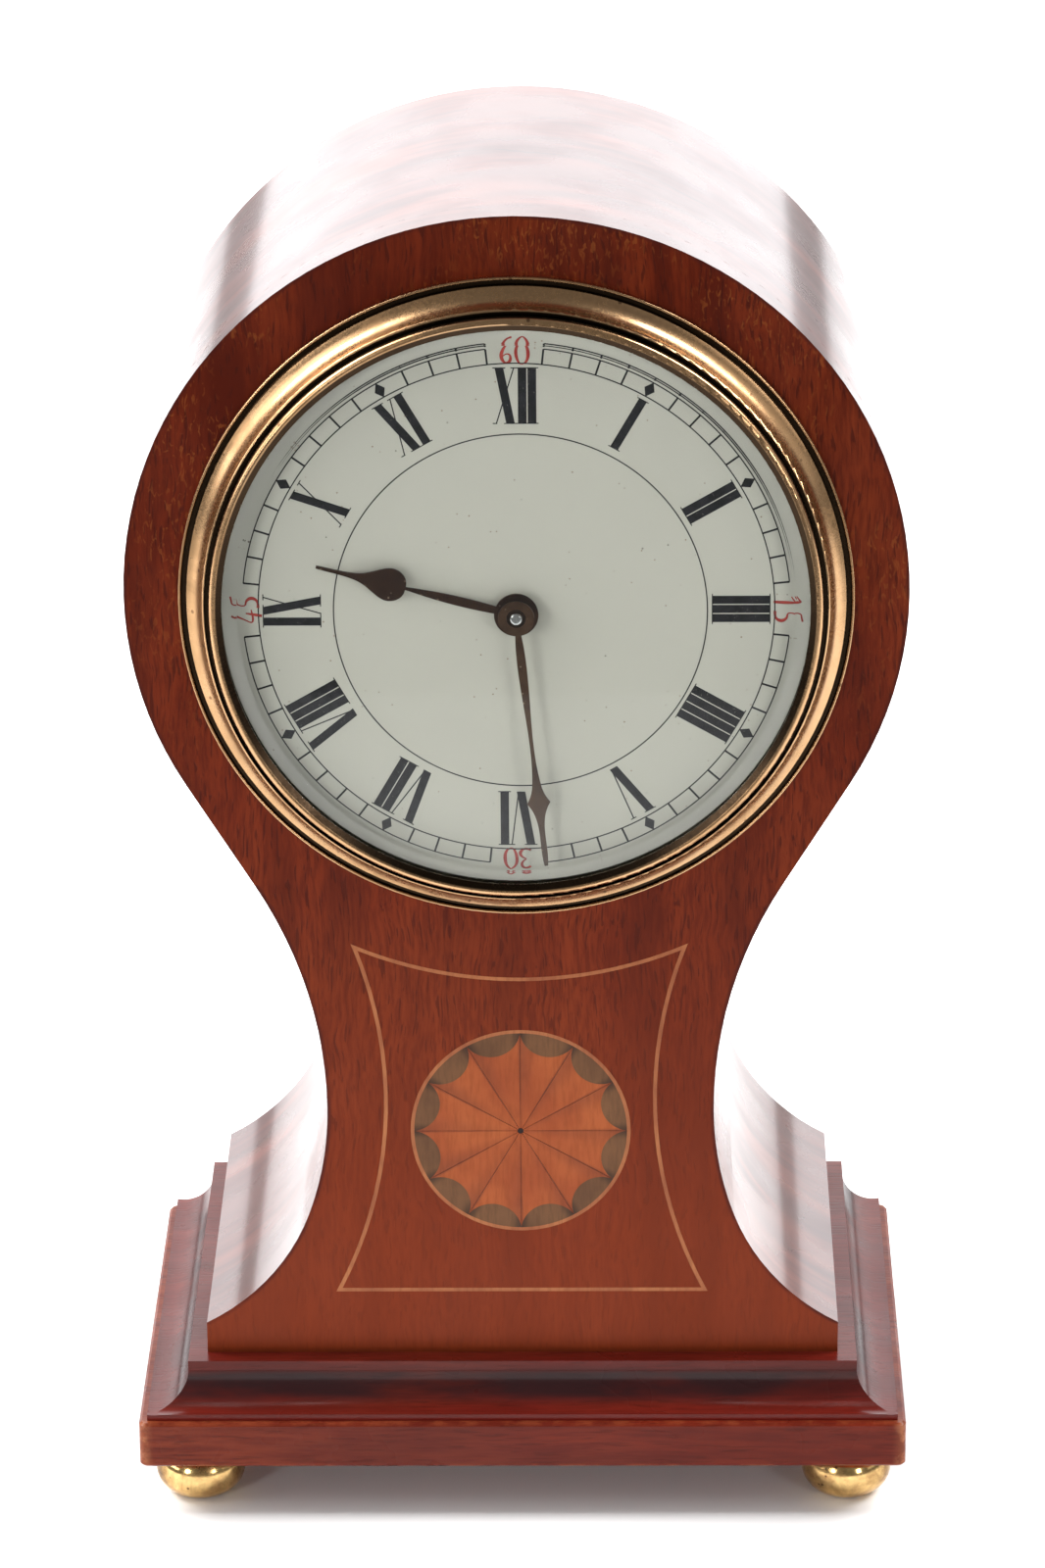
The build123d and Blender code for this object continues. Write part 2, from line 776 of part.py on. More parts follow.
with BuildPart() as barrel:
    add(
        gear(
            barrel_spot,
            great_teeth,
            great_module,
            barrel_front_y,
            barrel_front_y + 2.2,
            direction(barrel_spot, intermediate_spot),
            barrel_hole_radius,
        ).part
    )
    with BuildSketch(on_axis(barrel_spot[0], drum_rear_y, barrel_spot[1])):
        Circle(drum_radius)
        Circle(drum_inner_radius, mode=Mode.SUBTRACT)
    extrude(amount=drum_rear_y - barrel_front_y - 2.2)

barrel_cap = turned(
    [(drum_radius, drum_rear_y, drum_rear_y + 0.9)], barrel_spot[0], barrel_spot[1], barrel_hole_radius
)


def spiral(spot, rear, height, start_radius, growth, half_turns, thickness):
    """A flat spiral strip of half circles about two centres that lie one growth apart."""
    with BuildPart() as piece:
        with BuildSketch(on_axis(spot[0], rear, spot[1])):
            with BuildLine():
                for side in (-thickness / 2, thickness / 2):
                    for index in range(half_turns):
                        centre = (growth * (index % 2), 0)
                        CenterArc(centre, start_radius + index * growth + side, 180 * (index % 2), 180)
                last = half_turns - 1
                end_x = growth * (last % 2) + (-1) ** half_turns * (start_radius + last * growth)
                Line((start_radius - thickness / 2, 0), (start_radius + thickness / 2, 0))
                Line((end_x - thickness / 2, 0), (end_x + thickness / 2, 0))
            make_face()
        extrude(amount=height)
    return piece


mainspring = spiral(barrel_spot, drum_rear_y - 0.5, 8.5, 4.9, 0.55, 2 * spring_coils, 0.35)

square_front_y = outer_y + 2.2
square_rear_y = outer_y + 13.0
square_side = 3.4
with BuildPart() as barrel_arbor:
    add(
        turned(
            [
                (2.0, seat_back_y + 0.2, inner_y + 0.4),
                (3.0, inner_y + 0.4, inner_y + 4.6),
                (4.4, inner_y + 4.6, inner_y + 13.4),
                (3.0, inner_y + 13.4, rear_plate_y - 0.3),
                (2.5, rear_plate_y - 0.3, square_front_y),
            ],
            barrel_spot[0],
            barrel_spot[1],
        ).part
    )
    with BuildSketch(on_axis(barrel_spot[0], square_rear_y, barrel_spot[1])):
        Rectangle(square_side, square_side)
    extrude(amount=square_rear_y - square_front_y)
    chamfer(barrel_arbor.faces().sort_by(Axis.Y)[-1].edges(), length=0.4)

ratchet_teeth = 24
ratchet_radius = 7.0
with BuildPart() as ratchet_wheel:
    with BuildSketch(on_axis(barrel_spot[0], outer_y + 1.6, barrel_spot[1])):
        with BuildLine():
            step = 360 / ratchet_teeth
            saw = [
                along((0, 0), radius, index * step + turn)
                for index in range(ratchet_teeth)
                for turn, radius in ((0, ratchet_radius - 1.0), (step * 0.12, ratchet_radius))
            ]
            Polyline(*saw, close=True)
        make_face()
        Circle(2.52, mode=Mode.SUBTRACT)
    extrude(amount=1.2)

# The click's nose stands just clear of the ratchet's teeth, as at the top of its lift.
click_nose = along(barrel_spot, ratchet_radius + 0.7, 118)
click_tail = along(click_spot, 4.4, direction(click_nose, click_spot) + 14)
with BuildPart() as click:
    with BuildSketch(on_axis(0, outer_y + 1.6, 0)):
        with Locations(click_spot):
            Circle(1.9)
        with Locations(click_nose):
            Circle(0.4)
        make_hull()
        with Locations(click_spot):
            Circle(0.85, mode=Mode.SUBTRACT)
    extrude(amount=1.2)
    with BuildSketch(on_axis(0, outer_y + 1.6, 0)):
        with Locations(click_spot):
            Circle(1.3)
        with Locations(click_tail):
            Circle(0.5)
        make_hull()
        with Locations(click_spot):
            Circle(0.85, mode=Mode.SUBTRACT)
    extrude(amount=1.2)

with BuildPart() as click_screw:
    add(
        turned(
            [(0.8, outer_y, outer_y + 1.8), (1.6, outer_y + 1.8, outer_y + 2.6)],
            click_spot[0],
            click_spot[1],
        ).part
    )

spring_end = along(click_tail, 1.35, direction(click_spot, click_tail) + 90)
spring_bow = along(
    click_spring_spot,
    0.5 * hypot(spring_end[0] - click_spring_spot[0], spring_end[1] - click_spring_spot[1]),
    direction(click_spring_spot, spring_end) - 8,
)
with BuildPart() as click_spring:
    with BuildSketch(on_axis(0, outer_y + 1.3, 0)):
        with Locations(click_spring_spot):
            Circle(1.7)
        with BuildLine():
            ThreePointArc(click_spring_spot, spring_bow, spring_end)
        trace(line_width=0.45)
    extrude(amount=1.3)

# =========================== train ===========================
intermediate_wheel_y = inner_y + 16.4
centre_wheel_y = inner_y + 19.2
third_wheel_y = inner_y + 8.0
fourth_wheel_y = inner_y + 12.0
wheel_thickness = 1.0


def arbor(spot, leaves, module, pinion_front, pinion_rear, phase, wheel_front):
    """A steel arbor with its pinion, two pivots and a seat for the wheel."""
    with BuildPart() as piece:
        add(gear(spot, leaves, module, pinion_front, pinion_rear, phase, 0.5, pinion=True).part)
        add(
            turned(
                [
                    (pivot_radius, inner_y - 1.6, inner_y + 0.3),
                    (arbor_radius, inner_y + 0.3, rear_plate_y - 0.3),
                    (pivot_radius, rear_plate_y - 0.3, rear_plate_y + 1.6),
                ],
                spot[0],
                spot[1],
            ).part
        )
        seat = (1.15, wheel_front + wheel_thickness, wheel_front + wheel_thickness + 0.5)
        add(turned([seat], spot[0], spot[1]).part)
    return piece


def train_wheel(spot, teeth, module, front, target, spokes=5):
    phase = direction(spot, target)
    return gear(spot, teeth, module, front, front + wheel_thickness, phase, arbor_radius + 0.01, spokes)


intermediate_wheel = train_wheel(
    intermediate_spot, intermediate_teeth, intermediate_module, intermediate_wheel_y, centre_spot
)
intermediate_pinion = arbor(
    intermediate_spot,
    intermediate_leaves,
    great_module,
    barrel_front_y - 0.4,
    barrel_front_y + 2.6,
    space_phase(intermediate_leaves, direction(intermediate_spot, barrel_spot)),
    intermediate_wheel_y,
)
centre_wheel = train_wheel(centre_spot, centre_teeth, centre_module, centre_wheel_y, third_spot)
third_wheel = train_wheel(third_spot, third_teeth, third_module, third_wheel_y, fourth_spot, 4)
third_pinion = arbor(
    third_spot,
    third_leaves,
    centre_module,
    centre_wheel_y - 0.4,
    centre_wheel_y + 1.4,
    space_phase(third_leaves, direction(third_spot, centre_spot)),
    third_wheel_y,
)
fourth_wheel = train_wheel(fourth_spot, fourth_teeth, fourth_module, fourth_wheel_y, escape_spot, 4)
fourth_pinion = arbor(
    fourth_spot,
    fourth_leaves,
    third_module,
    third_wheel_y - 0.6,
    third_wheel_y + 1.6,
    space_phase(fourth_leaves, direction(fourth_spot, third_spot)),
    fourth_wheel_y,
)

knob_front_y = outer_y + 5.0
knob_rear_y = outer_y + 9.0
with BuildPart() as centre_arbor:
    add(
        gear(
            centre_spot,
            centre_leaves,
            intermediate_module,
            intermediate_wheel_y - 0.5,
            intermediate_wheel_y + 1.5,
            space_phase(centre_leaves, direction(centre_spot, intermediate_spot)),
            0.5,
            pinion=True,
        ).part
    )
    add(
        turned(
            [
                (0.9, cannon_front_y, inner_y + 0.3),
                (1.0, inner_y - 1.9, inner_y + 0.3),
                (arbor_radius, inner_y + 0.3, rear_plate_y - 0.3),
                (1.0, rear_plate_y - 0.3, outer_y + 0.3),
                (0.9, outer_y + 0.3, knob_rear_y - 0.4),
            ]
        ).part
    )
    add(turned([(1.15, cannon_front_y - 0.6, cannon_front_y)]).part)
    fillet(centre_arbor.edges().group_by(Axis.Y)[0], radius=0.5)

with BuildPart() as set_knob:
    with BuildSketch(on_axis(0, knob_rear_y, 0)):
        Circle(5.0)
    extrude(amount=1.8)
    with BuildSketch(on_axis(0, knob_rear_y, 0)):
        with PolarLocations(5.0, 30):
            Circle(0.22)
    extrude(amount=1.8, mode=Mode.SUBTRACT)
    with BuildSketch(on_axis(0, knob_rear_y, 0)):
        Circle(2.4)
    extrude(amount=knob_rear_y - knob_front_y)
    with BuildSketch(on_axis(0, knob_rear_y - 0.4, 0)):
        Circle(0.91)
    extrude(amount=knob_rear_y - 0.4 - knob_front_y, mode=Mode.SUBTRACT)

# =========================== lever escapement, on the rear plate ===========================
escape_teeth = 15
escape_radius = 3.6
escape_y = outer_y + 1.2
cock_y = outer_y + 2.6
cock_rear_y = outer_y + 3.7
balance_y = outer_y + 4.6
hairspring_y = outer_y + 6.5
balance_cock_y = outer_y + 7.6
balance_cock_rear_y = outer_y + 9.0
balance_radius = 7.6

with BuildPart() as escape_wheel:
    with BuildSketch(on_axis(escape_spot[0], escape_y + 0.5, escape_spot[1])):
        with BuildLine():
            step = 360 / escape_teeth
            club = [
                along((0, 0), radius, index * step + turn)
                for index in range(escape_teeth)
                for turn, radius in ((0, 2.75), (7.5, escape_radius - 0.12), (11.0, escape_radius), (10.5, 2.75))
            ]
            Polyline(*club, close=True)
        make_face()
        Circle(2.1, mode=Mode.SUBTRACT)
        Circle(1.2)
        with PolarLocations(0, 4):
            with Locations((1.3, 0)):
                Rectangle(2.0, 0.5)
        Circle(0.51, mode=Mode.SUBTRACT)
    extrude(amount=0.5)

with BuildPart() as escape_pinion:
    add(
        gear(
            escape_spot,
            escape_leaves,
            fourth_module,
            fourth_wheel_y - 0.5,
            fourth_wheel_y + 1.5,
            space_phase(escape_leaves, direction(escape_spot, fourth_spot)),
            0.2,
            pinion=True,
        ).part
    )
    add(
        turned(
            [
                (pivot_radius, inner_y - 1.6, inner_y + 0.3),
                (0.5, inner_y + 0.3, fourth_wheel_y - 0.5),
                (0.4, fourth_wheel_y - 0.5, fourth_wheel_y + 1.5),
                (0.5, fourth_wheel_y + 1.5, cock_y - 0.2),
                (0.3, cock_y - 0.2, cock_y + 0.9),
            ],
            escape_spot[0],
            escape_spot[1],
        ).part
    )

with BuildPart() as escape_cock:
    with BuildSketch(on_axis(0, cock_rear_y, 0)):
        with Locations(escape_spot, lever_spot):
            Circle(1.7)
        with Locations(cock_foot_spot):
            Circle(2.3)
        make_hull()
        with Locations(escape_spot, lever_spot):
            Circle(0.34, mode=Mode.SUBTRACT)
    extrude(amount=cock_rear_y - cock_y)
    with BuildSketch(on_axis(cock_foot_spot[0], cock_y, cock_foot_spot[1])):
        Circle(2.3)
    extrude(amount=cock_y - outer_y)
    with BuildSketch(on_axis(cock_foot_spot[0], cock_rear_y + 0.7, cock_foot_spot[1])):
        Circle(1.5)
        Rectangle(4, 0.4, mode=Mode.SUBTRACT)
    extrude(amount=0.7)

# The pallets stand clear of the wheel's teeth at every rock of the lever, so that each can turn alone.
pallet_spread = 29.0
fork_length = 4.9
lever_plane = Plane(
    origin=(lever_spot[0], escape_y + 0.5, dial_z + lever_spot[1]),
    x_dir=(cos(radians(lever_angle)), 0, sin(radians(lever_angle))),
    z_dir=(0, -1, 0),
)
pallet_spots = [along((-5.6, 0), escape_radius + 0.75, sign * pallet_spread) for sign in (-1, 1)]
with BuildPart() as pallet_lever:
    with BuildSketch(lever_plane):
        Circle(0.95)
        for spot in pallet_spots:
            with BuildLine():
                Line((0, 0), spot)
            trace(line_width=0.6)
        with Locations(*pallet_spots):
            Circle(0.36)
        with Locations((fork_length / 2, 0)):
            Rectangle(fork_length, 0.5)
        with Locations((fork_length - 0.4, 0)):
            Rectangle(1.0, 1.3)
        with Locations((fork_length, 0)):
            Rectangle(0.9, 0.5, mode=Mode.SUBTRACT)
    extrude(amount=0.5)
    add(
        turned(
            [
                (0.42, rear_plate_y + 0.6, outer_y + 0.3),
                (0.5, outer_y + 0.3, cock_y - 0.2),
                (0.3, cock_y - 0.2, cock_y + 0.9),
            ],
            lever_spot[0],
            lever_spot[1],
        ).part
    )

with BuildPart() as balance_wheel:
    with BuildSketch(on_axis(balance_spot[0], balance_y + 1.0, balance_spot[1])):
        Circle(balance_radius - 0.6)
        Circle(balance_radius - 1.5, mode=Mode.SUBTRACT)
        Rectangle(2 * balance_radius - 2.4, 1.1)
        Circle(1.5)
        Circle(0.61, mode=Mode.SUBTRACT)
    extrude(amount=1.0)
    for index in range(12):
        turn = 15 + 30 * index
        spot = along(balance_spot, balance_radius - 0.9, turn)
        screw_plane = Plane(
            origin=(spot[0], balance_y + 0.5, dial_z + spot[1]),
            x_dir=(0, 1, 0),
            z_dir=(cos(radians(turn)), 0, sin(radians(turn))),
        )
        with BuildSketch(screw_plane):
            Circle(0.42)
        extrude(amount=0.9)

impulse_spot = along(balance_spot, 1.45, lever_angle + 180)
with BuildPart() as balance_staff:
    add(
        turned(
            [
                (0.42, rear_plate_y + 0.6, outer_y + 0.3),
                (0.6, outer_y + 0.3, balance_cock_y - 0.3),
                (0.3, balance_cock_y - 0.3, balance_cock_y + 1.0),
                (1.9, outer_y + 2.3, outer_y + 2.8),
                (1.2, balance_y + 1.0, balance_y + 1.3),
                (1.0, hairspring_y - 0.3, hairspring_y + 0.7),
            ],
            balance_spot[0],
            balance_spot[1],
        ).part
    )
    with BuildSketch(on_axis(impulse_spot[0], outer_y + 2.3, impulse_spot[1])):
        Circle(0.2)
    extrude(amount=0.4)

hairspring = spiral(balance_spot, hairspring_y + 0.5, 0.5, 1.35, 0.16, 20, 0.09)

with BuildPart() as balance_cock:
    with BuildSketch(on_axis(0, balance_cock_rear_y, 0)):
        with Locations(balance_spot):
            Circle(3.2)
        with Locations(balance_foot_spot):
            Circle(2.8)
        make_hull()
        with Locations(balance_spot):
            Circle(0.34, mode=Mode.SUBTRACT)
    extrude(amount=balance_cock_rear_y - balance_cock_y)
    with BuildSketch(on_axis(balance_foot_spot[0], balance_cock_y, balance_foot_spot[1])):
        Circle(2.6)
    extrude(amount=balance_cock_y - outer_y)
    with BuildSketch(on_axis(balance_foot_spot[0], balance_cock_rear_y + 0.8, balance_foot_spot[1])):
        Circle(1.6)
        Rectangle(4, 0.4, mode=Mode.SUBTRACT)
    extrude(amount=0.8)
    with BuildSketch(on_axis(balance_spot[0], balance_cock_rear_y + 0.9, balance_spot[1])):
        Circle(1.4)
    extrude(amount=0.5)
    with BuildSketch(on_axis(balance_spot[0], balance_cock_rear_y + 0.4, balance_spot[1])):
        Circle(1.2)
        Circle(0.34, mode=Mode.SUBTRACT)
    extrude(amount=0.4)

regulator_tip = along(balance_spot, 6.4, 100)
with BuildPart() as regulator:
    with BuildSketch(on_axis(0, balance_cock_rear_y + 0.38, 0)):
        with Locations(balance_spot):
            Circle(2.1)
        with BuildLine():
            Line(balance_spot, regulator_tip)
        trace(line_width=0.7)
        with Locations(balance_spot):
            Circle(1.25, mode=Mode.SUBTRACT)
    extrude(amount=0.33)

# =========================== rear door ===========================
ring_rear_y = back_rear_y + 1.2
door_front_y = ring_rear_y + 0.15
door_rear_y = door_front_y + 1.0
door_radius = 43.6
hinge_x = 47.0
hinge_y = door_rear_y + 0.7
hinge_radius = 1.5
pin_radius = 0.6


def knuckle(low, high, hole):
    """One length of the hinge's barrel, centred on the pin."""
    with BuildPart() as piece:
        with BuildSketch(Plane(origin=(hinge_x, hinge_y, head_z + low), x_dir=(1, 0, 0), z_dir=(0, 0, 1))):
            Circle(hinge_radius)
            Circle(hole, mode=Mode.SUBTRACT)
        extrude(amount=high - low)
    return piece.part


with BuildPart() as door_ring:
    with BuildSketch(facing(ring_rear_y)):
        with Locations((0, head_z)):
            Circle(46.5)
            Circle(40.0, mode=Mode.SUBTRACT)
    extrude(amount=ring_rear_y - back_rear_y)
    with BuildSketch(facing(back_rear_y)):
        with Locations((0, head_z)):
            Circle(door_hole_radius - 0.1)
            Circle(40.0, mode=Mode.SUBTRACT)
    extrude(amount=2.5)
    for low, high in ((-12.0, -5.0), (5.0, 12.0)):
        with BuildSketch(facing(ring_rear_y)):
            with Locations((hinge_x - 0.5, head_z + (low + high) / 2)):
                Rectangle(2.4, high - low)
        extrude(amount=ring_rear_y - back_rear_y)
        with BuildSketch(facing(hinge_y)):
            with Locations((hinge_x + 1.1, head_z + (low + high) / 2)):
                Rectangle(0.8, high - low)
        extrude(amount=hinge_y - back_rear_y)
        add(knuckle(low, high, pin_radius))

with BuildPart() as back_door:
    with BuildSketch(facing(door_rear_y)):
        with Locations((0, head_z)):
            Circle(door_radius)
    extrude(amount=door_rear_y - door_front_y)
    with BuildSketch(facing(door_rear_y + 0.8)):
        with Locations((0, head_z)):
            Circle(door_radius)
            Circle(door_radius - 1.2, mode=Mode.SUBTRACT)
    extrude(amount=0.8)
    with BuildSketch(facing(door_rear_y)):
        with Locations((44.6, head_z)):
            Rectangle(4.4, 9.4)
    extrude(amount=door_rear_y - door_front_y - 0.3)
    add(knuckle(-4.7, 4.7, pin_radius + 0.05))

with BuildPart() as door_pin:
    with BuildSketch(Plane(origin=(hinge_x, hinge_y, head_z - 12.6), x_dir=(1, 0, 0), z_dir=(0, 0, 1))):
        Circle(pin_radius)
    extrude(amount=25.2)

knob_spot = (-36.5, dial_drop)
with BuildPart() as door_knob:
    add(turned([(1.3, door_rear_y, door_rear_y + 1.3), (2.4, door_rear_y + 1.3, door_rear_y + 3.1)], *knob_spot).part)
    fillet(door_knob.edges().group_by(Axis.Y)[-1], radius=0.9)

# =========================== files ===========================
pieces = {
    "base_slab": base_slab,
    "plinth_moulding": plinth_moulding,
    "bun_feet": bun_feet,
    "foot_screws": foot_screws,
    "front_panel": front_panel,
    "side_wrap": side_wrap,
    "case_floor": case_floor,
    "back_board": back_board,
    "back_screws": back_screws,
    "inlay_line": inlay_line,
    "inlay_ring": inlay_ring,
    "inlay_dot": inlay_dot,
    "inlay_petals": inlay_petals,
    "inlay_lunettes": inlay_lunettes,
    "bezel": bezel,
    "crystal": crystal,
    "crystal_ring": crystal_ring,
    "dial": dial,
    "dial_feet": dial_feet,
    "hour_hand": hour_hand,
    "minute_hand": minute_hand,
    "cannon_pinion": cannon_pinion,
    "minute_wheel": minute_wheel,
    "hour_wheel": hour_wheel,
    "seat_ring": seat_ring,
    "seat_screws": seat_screws,
    "front_plate": front_plate,
    "rear_plate": rear_plate,
    "pillars": pillars,
    "plate_screws": plate_screws,
    "barrel": barrel,
    "barrel_cap": barrel_cap,
    "mainspring": mainspring,
    "barrel_arbor": barrel_arbor,
    "ratchet_wheel": ratchet_wheel,
    "click": click,
    "click_screw": click_screw,
    "click_spring": click_spring,
    "intermediate_wheel": intermediate_wheel,
    "intermediate_pinion": intermediate_pinion,
    "centre_wheel": centre_wheel,
    "centre_arbor": centre_arbor,
    "third_wheel": third_wheel,
    "third_pinion": third_pinion,
    "fourth_wheel": fourth_wheel,
    "fourth_pinion": fourth_pinion,
    "escape_wheel": escape_wheel,
    "escape_pinion": escape_pinion,
    "escape_cock": escape_cock,
    "pallet_lever": pallet_lever,
    "balance_wheel": balance_wheel,
    "balance_staff": balance_staff,
    "hairspring": hairspring,
    "balance_cock": balance_cock,
    "regulator": regulator,
    "set_knob": set_knob,
    "door_ring": door_ring,
    "back_door": back_door,
    "door_pin": door_pin,
    "door_knob": door_knob,
}

os.makedirs("parts", exist_ok=True)
for name, piece in pieces.items():
    piece.part.label = name
    export_step(piece.part, f"parts/{name}.step")
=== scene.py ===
import math

import bmesh
import bpy
from mathutils import Matrix, Vector


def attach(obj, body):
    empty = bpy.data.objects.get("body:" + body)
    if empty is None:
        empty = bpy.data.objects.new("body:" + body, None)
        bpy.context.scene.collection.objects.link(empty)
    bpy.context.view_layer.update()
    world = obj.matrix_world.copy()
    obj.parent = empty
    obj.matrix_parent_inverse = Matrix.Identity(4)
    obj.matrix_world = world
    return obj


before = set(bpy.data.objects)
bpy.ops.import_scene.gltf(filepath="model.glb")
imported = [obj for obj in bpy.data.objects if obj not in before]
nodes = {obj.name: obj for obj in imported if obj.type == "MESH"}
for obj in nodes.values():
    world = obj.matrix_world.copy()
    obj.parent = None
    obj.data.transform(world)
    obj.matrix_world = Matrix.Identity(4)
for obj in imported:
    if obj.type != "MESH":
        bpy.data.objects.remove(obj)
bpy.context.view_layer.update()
mm = 0.001
print("frame loaded,", len(nodes), "nodes")


# helpers for building materials: a noise is (scale, detail, roughness, distortion),
# and a fade is (low, high, value below low, value above high)

def newMaterial(name):
    material = bpy.data.materials.new(name)
    material.use_nodes = True
    return material, material.node_tree, material.node_tree.nodes["Principled BSDF"]


def put(tree, kind, sockets=None, **settings):
    made = tree.nodes.new("ShaderNode" + kind)
    for key, value in settings.items():
        setattr(made, key, value)
    for key, value in (sockets or {}).items():
        if isinstance(value, bpy.types.NodeSocket):
            tree.links.new(value, made.inputs[key])
        else:
            made.inputs[key].default_value = value
    return made


def placed(tree, scale=(1, 1, 1), turn=(0, 0, 0), shift=(0, 0, 0)):
    coords = put(tree, "TexCoord").outputs["Object"]
    sockets = {"Vector": coords, "Scale": scale, "Rotation": turn, "Location": shift}
    return put(tree, "Mapping", sockets).outputs["Vector"]


def noise(tree, vector, scale, detail=3.0, rough=0.5, warp=0.0):
    sockets = {"Vector": vector, "Scale": scale, "Detail": detail, "Roughness": rough, "Distortion": warp}
    return put(tree, "TexNoise", sockets).outputs["Fac"]


def cells(tree, vector, scale):
    return put(tree, "TexVoronoi", {"Vector": vector, "Scale": scale}).outputs["Distance"]


def calc(tree, operation, a, b=0.0):
    return put(tree, "Math", {0: a, 1: b}, operation=operation).outputs[0]


def fade(tree, value, low, high, outLow=0.0, outHigh=1.0):
    sockets = {"Value": value, "From Min": low, "From Max": high, "To Min": outLow, "To Max": outHigh}
    return put(tree, "MapRange", sockets, interpolation_type="SMOOTHSTEP").outputs["Result"]


def fadeOver(tree, distance, low, high, outLow=0.0, outHigh=1.0):
    # a fade whose low and high are given in millimetres
    return fade(tree, distance, low * mm, high * mm, outLow, outHigh)


def widened(tree, value, outLow=0.0, outHigh=1.0):
    # nearly all of a noise lies between 0.3 and 0.7
    return fade(tree, value, 0.3, 0.7, outLow, outHigh)


def between(tree, value, low, high):
    # 1 where a distance lies between two others in millimetres, and 0 elsewhere
    above = calc(tree, "GREATER_THAN", value, low * mm)
    return calc(tree, "MULTIPLY", above, calc(tree, "LESS_THAN", value, high * mm))


def mixed(tree, share, first, second):
    made = tree.nodes.new("ShaderNodeMix")
    made.data_type = "RGBA"
    for index, value in ((0, share), (6, first), (7, second)):
        if isinstance(value, bpy.types.NodeSocket):
            tree.links.new(value, made.inputs[index])
        elif index == 0:
            made.inputs[index].default_value = value
        else:
            made.inputs[index].default_value = (*value, 1.0)
    return made.outputs[2]


def ramp(tree, value, positions, colours):
    made = put(tree, "ValToRGB", {"Fac": value})
    band = made.color_ramp
    while len(band.elements) < len(positions):
        band.elements.new(0.5)
    for element, position, colour in zip(band.elements, positions, colours):
        element.position = position
        element.color = (*colour, 1.0)
    return made.outputs["Color"]


def bump(tree, shader, height, strength, distance):
    made = put(tree, "Bump", {"Height": height, "Strength": strength, "Distance": distance})
    tree.links.new(made.outputs["Normal"], shader.inputs["Normal"])


def axes(tree):
    coords = put(tree, "TexCoord").outputs["Object"]
    split = put(tree, "SeparateXYZ", {"Vector": coords})
    return split.outputs["X"], split.outputs["Y"], split.outputs["Z"]


def radiusFrom(tree, x, z, centreX, centreZ):
    across = calc(tree, "SUBTRACT", x, centreX * mm)
    up = calc(tree, "SUBTRACT", z, centreZ * mm)
    squares = calc(tree, "ADD", calc(tree, "POWER", across, 2.0), calc(tree, "POWER", up, 2.0))
    return calc(tree, "SQRT", squares)


def angleAbout(tree, x, z, centreZ):
    # the angle from level, in radians, about a point on the middle line
    up = calc(tree, "SUBTRACT", z, centreZ * mm)
    return calc(tree, "ARCTAN2", up, x)


def give(material, *names):
    for name in names:
        piece = nodes[name]
        piece.data.materials.clear()
        piece.data.materials.append(material)


# the mahogany of the case
panelWood = {
    "along": "z", "shorten": 0.11, "wander": 0.0035, "wanderScale": 60.0, "shift": (0.3, 0.1, 0.2),
    "fibre": (1500.0, 4.0, 0.6), "figure": (150.0, 2.0, 0.5, 0.4), "cloud": (16.0, 2.0),
    "pore": (1900.0, 1.0, 0.4), "smear": (55.0, 3.0),
    "figureStops": (0.3, 0.52, 0.72), "glowFade": (0.42, 0.68, 0.0, 0.55),
    "fibreFade": (0.35, 0.68, 0.0, 0.7), "poreFade": (0.6, 0.68), "poreDepth": 0.6,
    "dark": (0.08, 0.009, 0.003), "body": (0.15, 0.019, 0.005), "light": (0.185, 0.027, 0.007),
    "glow": (0.21, 0.035, 0.009), "poreColour": (0.045, 0.006, 0.003),
    "roughLow": 0.34, "roughHigh": 0.46, "specular": 0.1, "coat": 0.0, "coatRough": 0.12,
    "fibreHeight": 0.3, "relief": 0.25, "reliefDepth": 0.12,
}
wrapWood = dict(
    panelWood, along="xz", shorten=0.1,
    fibre=(500.0, 4.0, 0.6), figure=(90.0, 2.0, 0.5, 0.4), pore=(1100.0, 1.0, 0.4),
    poreFade=(0.66, 0.74), poreDepth=0.3,
    dark=(0.05, 0.008, 0.005), body=(0.08, 0.013, 0.008), light=(0.12, 0.022, 0.012),
    glow=(0.13, 0.028, 0.015),
    roughLow=0.24, roughHigh=0.34, specular=0.5, coat=0.6, coatRough=0.1, relief=0.03,
)
solidWood = dict(
    panelWood, along="x", shorten=0.08, wander=0.001,
    fibre=(1100.0, 4.0, 0.6), figure=(110.0, 2.0, 0.5, 0.4), poreDepth=0.35,
    dark=(0.07, 0.007, 0.004), body=(0.125, 0.011, 0.007), light=(0.16, 0.018, 0.009),
    glow=(0.155, 0.022, 0.01),
    roughLow=0.24, roughHigh=0.38, coat=0.25, coatRough=0.16,
)


